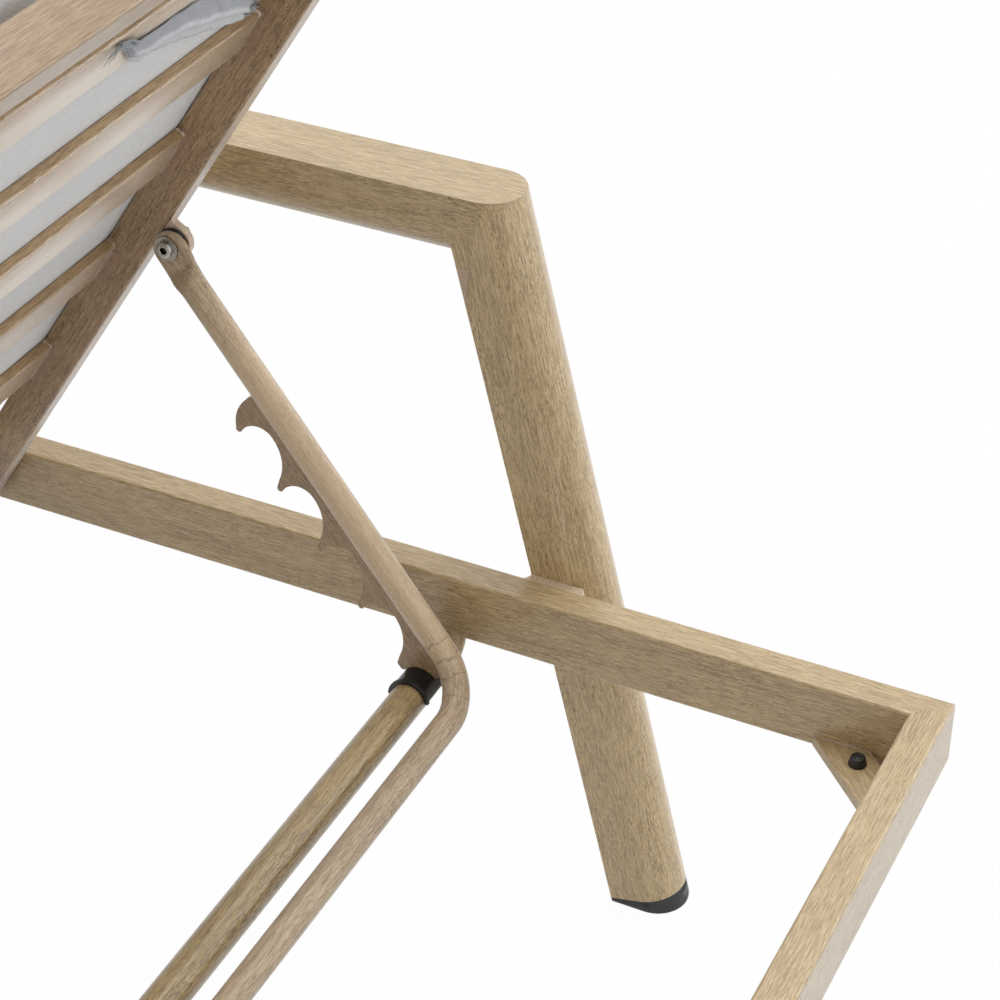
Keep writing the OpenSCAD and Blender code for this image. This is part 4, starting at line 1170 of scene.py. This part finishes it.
def weldSeams(name, seams, body, width, material=bareWeld):
    points, edges = [], []
    for seam in seams:
        first = len(points)
        points.extend(seam)
        edges.extend((first + i, first + i + 1) for i in range(len(seam) - 1))
    mesh = bpy.data.meshes.new(name + "Lines")
    mesh.from_pydata(points, edges, [])
    holder = linked(name + "Lines", mesh)
    beads = holder.modifiers.new("beads", "NODES")
    beads.node_group = weldGroup
    values = {"Bead Width": width, "Finish": material, **weldLook}
    for item in weldGroup.interface.items_tree:
        if item.in_out == "INPUT" and item.name in values:
            beads[item.identifier] = values[item.name]
    result = evaluatedMesh(holder)
    bpy.data.objects.remove(holder)
    newPiece(name, result, material, body, 60)


# A seam round the rear and sides of each slat's two ends
def slatSeams(first, pitch, count, y, high, put):
    half, low, broken = place["slatWide"] / 2, high - place["slatThick"], 0.001
    seams = []
    for i in range(count):
        x = first + i * pitch
        for sign in (1, -1):
            rim = [(x - half, high - broken), (x - half, low + broken), (x - half + broken, low),
                   (x + half - broken, low), (x + half, low + broken), (x + half, high - broken)]
            seams.append([put(px, sign * y, pz) for px, pz in rim])
    return seams


def plainPut(x, y, z):
    return Vector((x, y, z))


def ringSeam(at, y, z):
    radius = place["crossbarRadius"]
    turns = [2 * math.pi * i / 32 for i in range(33)]
    return [Vector((at + radius * math.cos(a), y + radius * math.sin(a), z)) for a in turns]


backSeams = slatSeams(place["slatFirst"], place["slatPitch"], place["backSlats"], place["backInner"],
                      place["backFront"], onBackrest)
frameSeams = slatSeams(place["seatSlatFirst"], -place["seatSlatPitch"], place["seatSlats"],
                       place["railInner"], place["slatTop"], plainPut)
cornerSeams, bailSeams = [], []
gx, gy, gz = place["headInner"], place["railInner"], place["gussetTop"]
cut, along = place["gussetCut"], place["gussetLong"]
low, sunk, shorter = place["railBottom"] + 0.0028, 0.0005, 0.003
for sign in (1, -1):
    frameSeams.append([Vector((gx - along, sign * gy, gz)), Vector((gx - cut, sign * gy, gz))])
    frameSeams.append([Vector((gx, sign * (gy - cut), gz)), Vector((gx, sign * (gy - along), gz))])
    frameSeams.append(ringSeam(place["crossbar"][0], sign * place["elbowY"], place["railBottom"]))
    inX, inY = gx - sunk, gy - sunk
    cornerSeams.append([Vector((inX - cut + shorter, sign * inY, low)), Vector((inX, sign * inY, low)),
                        Vector((inX, sign * (inY - cut + shorter), low))])
    for offset in (-0.0026, 0.0026):
        bailSeams.append([onBail(x, sign * (place["tubeY"] + offset), -0.0099)
                          for x in np.linspace(*place["comb"], 21).tolist()])
weldSeams("backrest_welds", backSeams, "backrest", weldWidth["back"], backWeld)
weldSeams("frame_welds", frameSeams, "frame", weldWidth["frame"])
weldSeams("corner_welds", cornerSeams, "frame", weldWidth["corner"])
weldSeams("bail_welds", bailSeams, "support_bail", weldWidth["bail"])
print("stage: welds")

studio = {
    "floorHalf": 6.0, "world": 0.55, "floorTone": 0.55, "glow": 1.02, "seenShare": 0.95, "lens": 92.75,
    "cameraAt": (1.3122, -1.0219, 1.4151), "look": (-0.3583, 0.7344, -0.5765),
    "lamps": (("keyAbove", (0.4, 1.4, 3.4), 2.2, 42.0, (0.3, 0, 0.3)),
              ("softRear", (2.7, 3.0, 1.3), 2.6, 42.0, (0.5, 0, 0.3)),
              ("rimRear", (3.4, -0.1, 0.9), 2.0, 10.0, (0.6, 0, 0.3)),
              ("fillFront", (-2.4, -2.6, 2.0), 2.0, 26.0, (0.0, 0, 0.3))),
}


# 1 for the rays that show a surface or mirror it, 0 for those that only light
def seenRays(tree):
    path = addNode(tree, "ShaderNodeLightPath").outputs
    seen = mathNode("MAXIMUM", path["Is Camera Ray"], path["Is Glossy Ray"])
    return mathNode("MAXIMUM", seen, path["Is Transmission Ray"])


def aimed(thing, at, towards):
    thing.location = at
    thing.rotation_euler = Vector(towards).to_track_quat("-Z", "Y").to_euler()


def buildFloor():
    mesh = bpy.data.meshes.new("floor")
    h = studio["floorHalf"]
    mesh.from_pydata([(-h, -h, 0), (h, -h, 0), (h, h, 0), (-h, h, 0)], [], [(0, 1, 2, 3)])
    floor = linked("floor", mesh)
    material, tree, bsdf = newMaterial("paleFloor")
    fillInputs(bsdf, {"Base Color": (studio["floorTone"],) * 3 + (1,), "Roughness": 0.8})
    glow = fillInputs(addNode(tree, "ShaderNodeEmission"), {"Strength": studio["glow"]})
    blend = addNode(tree, "ShaderNodeMixShader", times(seenRays(tree), studio["seenShare"]), bsdf.outputs[0],
                    glow.outputs[0])
    setInput(tree.nodes["Material Output"], "Surface", blend.outputs[0])
    mesh.materials.append(material)


def buildStudio():
    scene = bpy.context.scene
    scene.world = bpy.data.worlds.new("studio")
    scene.world.use_nodes = True
    tree = scene.world.node_tree
    strength = mapRange(seenRays(tree), 0.0, 1.0, studio["world"], 1.0, smooth=False)
    fillInputs(tree.nodes["Background"], {"Color": (1, 1, 1, 1), "Strength": strength})
    for name, at, size, power, target in studio["lamps"]:
        lamp = bpy.data.lights.new(name, "AREA")
        lamp.shape = "DISK"
        lamp.size = size
        lamp.energy = power
        holder = linked(name, lamp)
        holder.visible_camera = False
        aimed(holder, at, Vector(target) - Vector(at))
    data = bpy.data.cameras.new("camera")
    data.lens = studio["lens"]
    data.sensor_width = 36
    data.clip_end = 50
    scene.camera = linked("camera", data)
    aimed(scene.camera, studio["cameraAt"], studio["look"])
    scene.view_settings.view_transform = "Standard"


buildFloor()
buildStudio()
print("stage: studio")
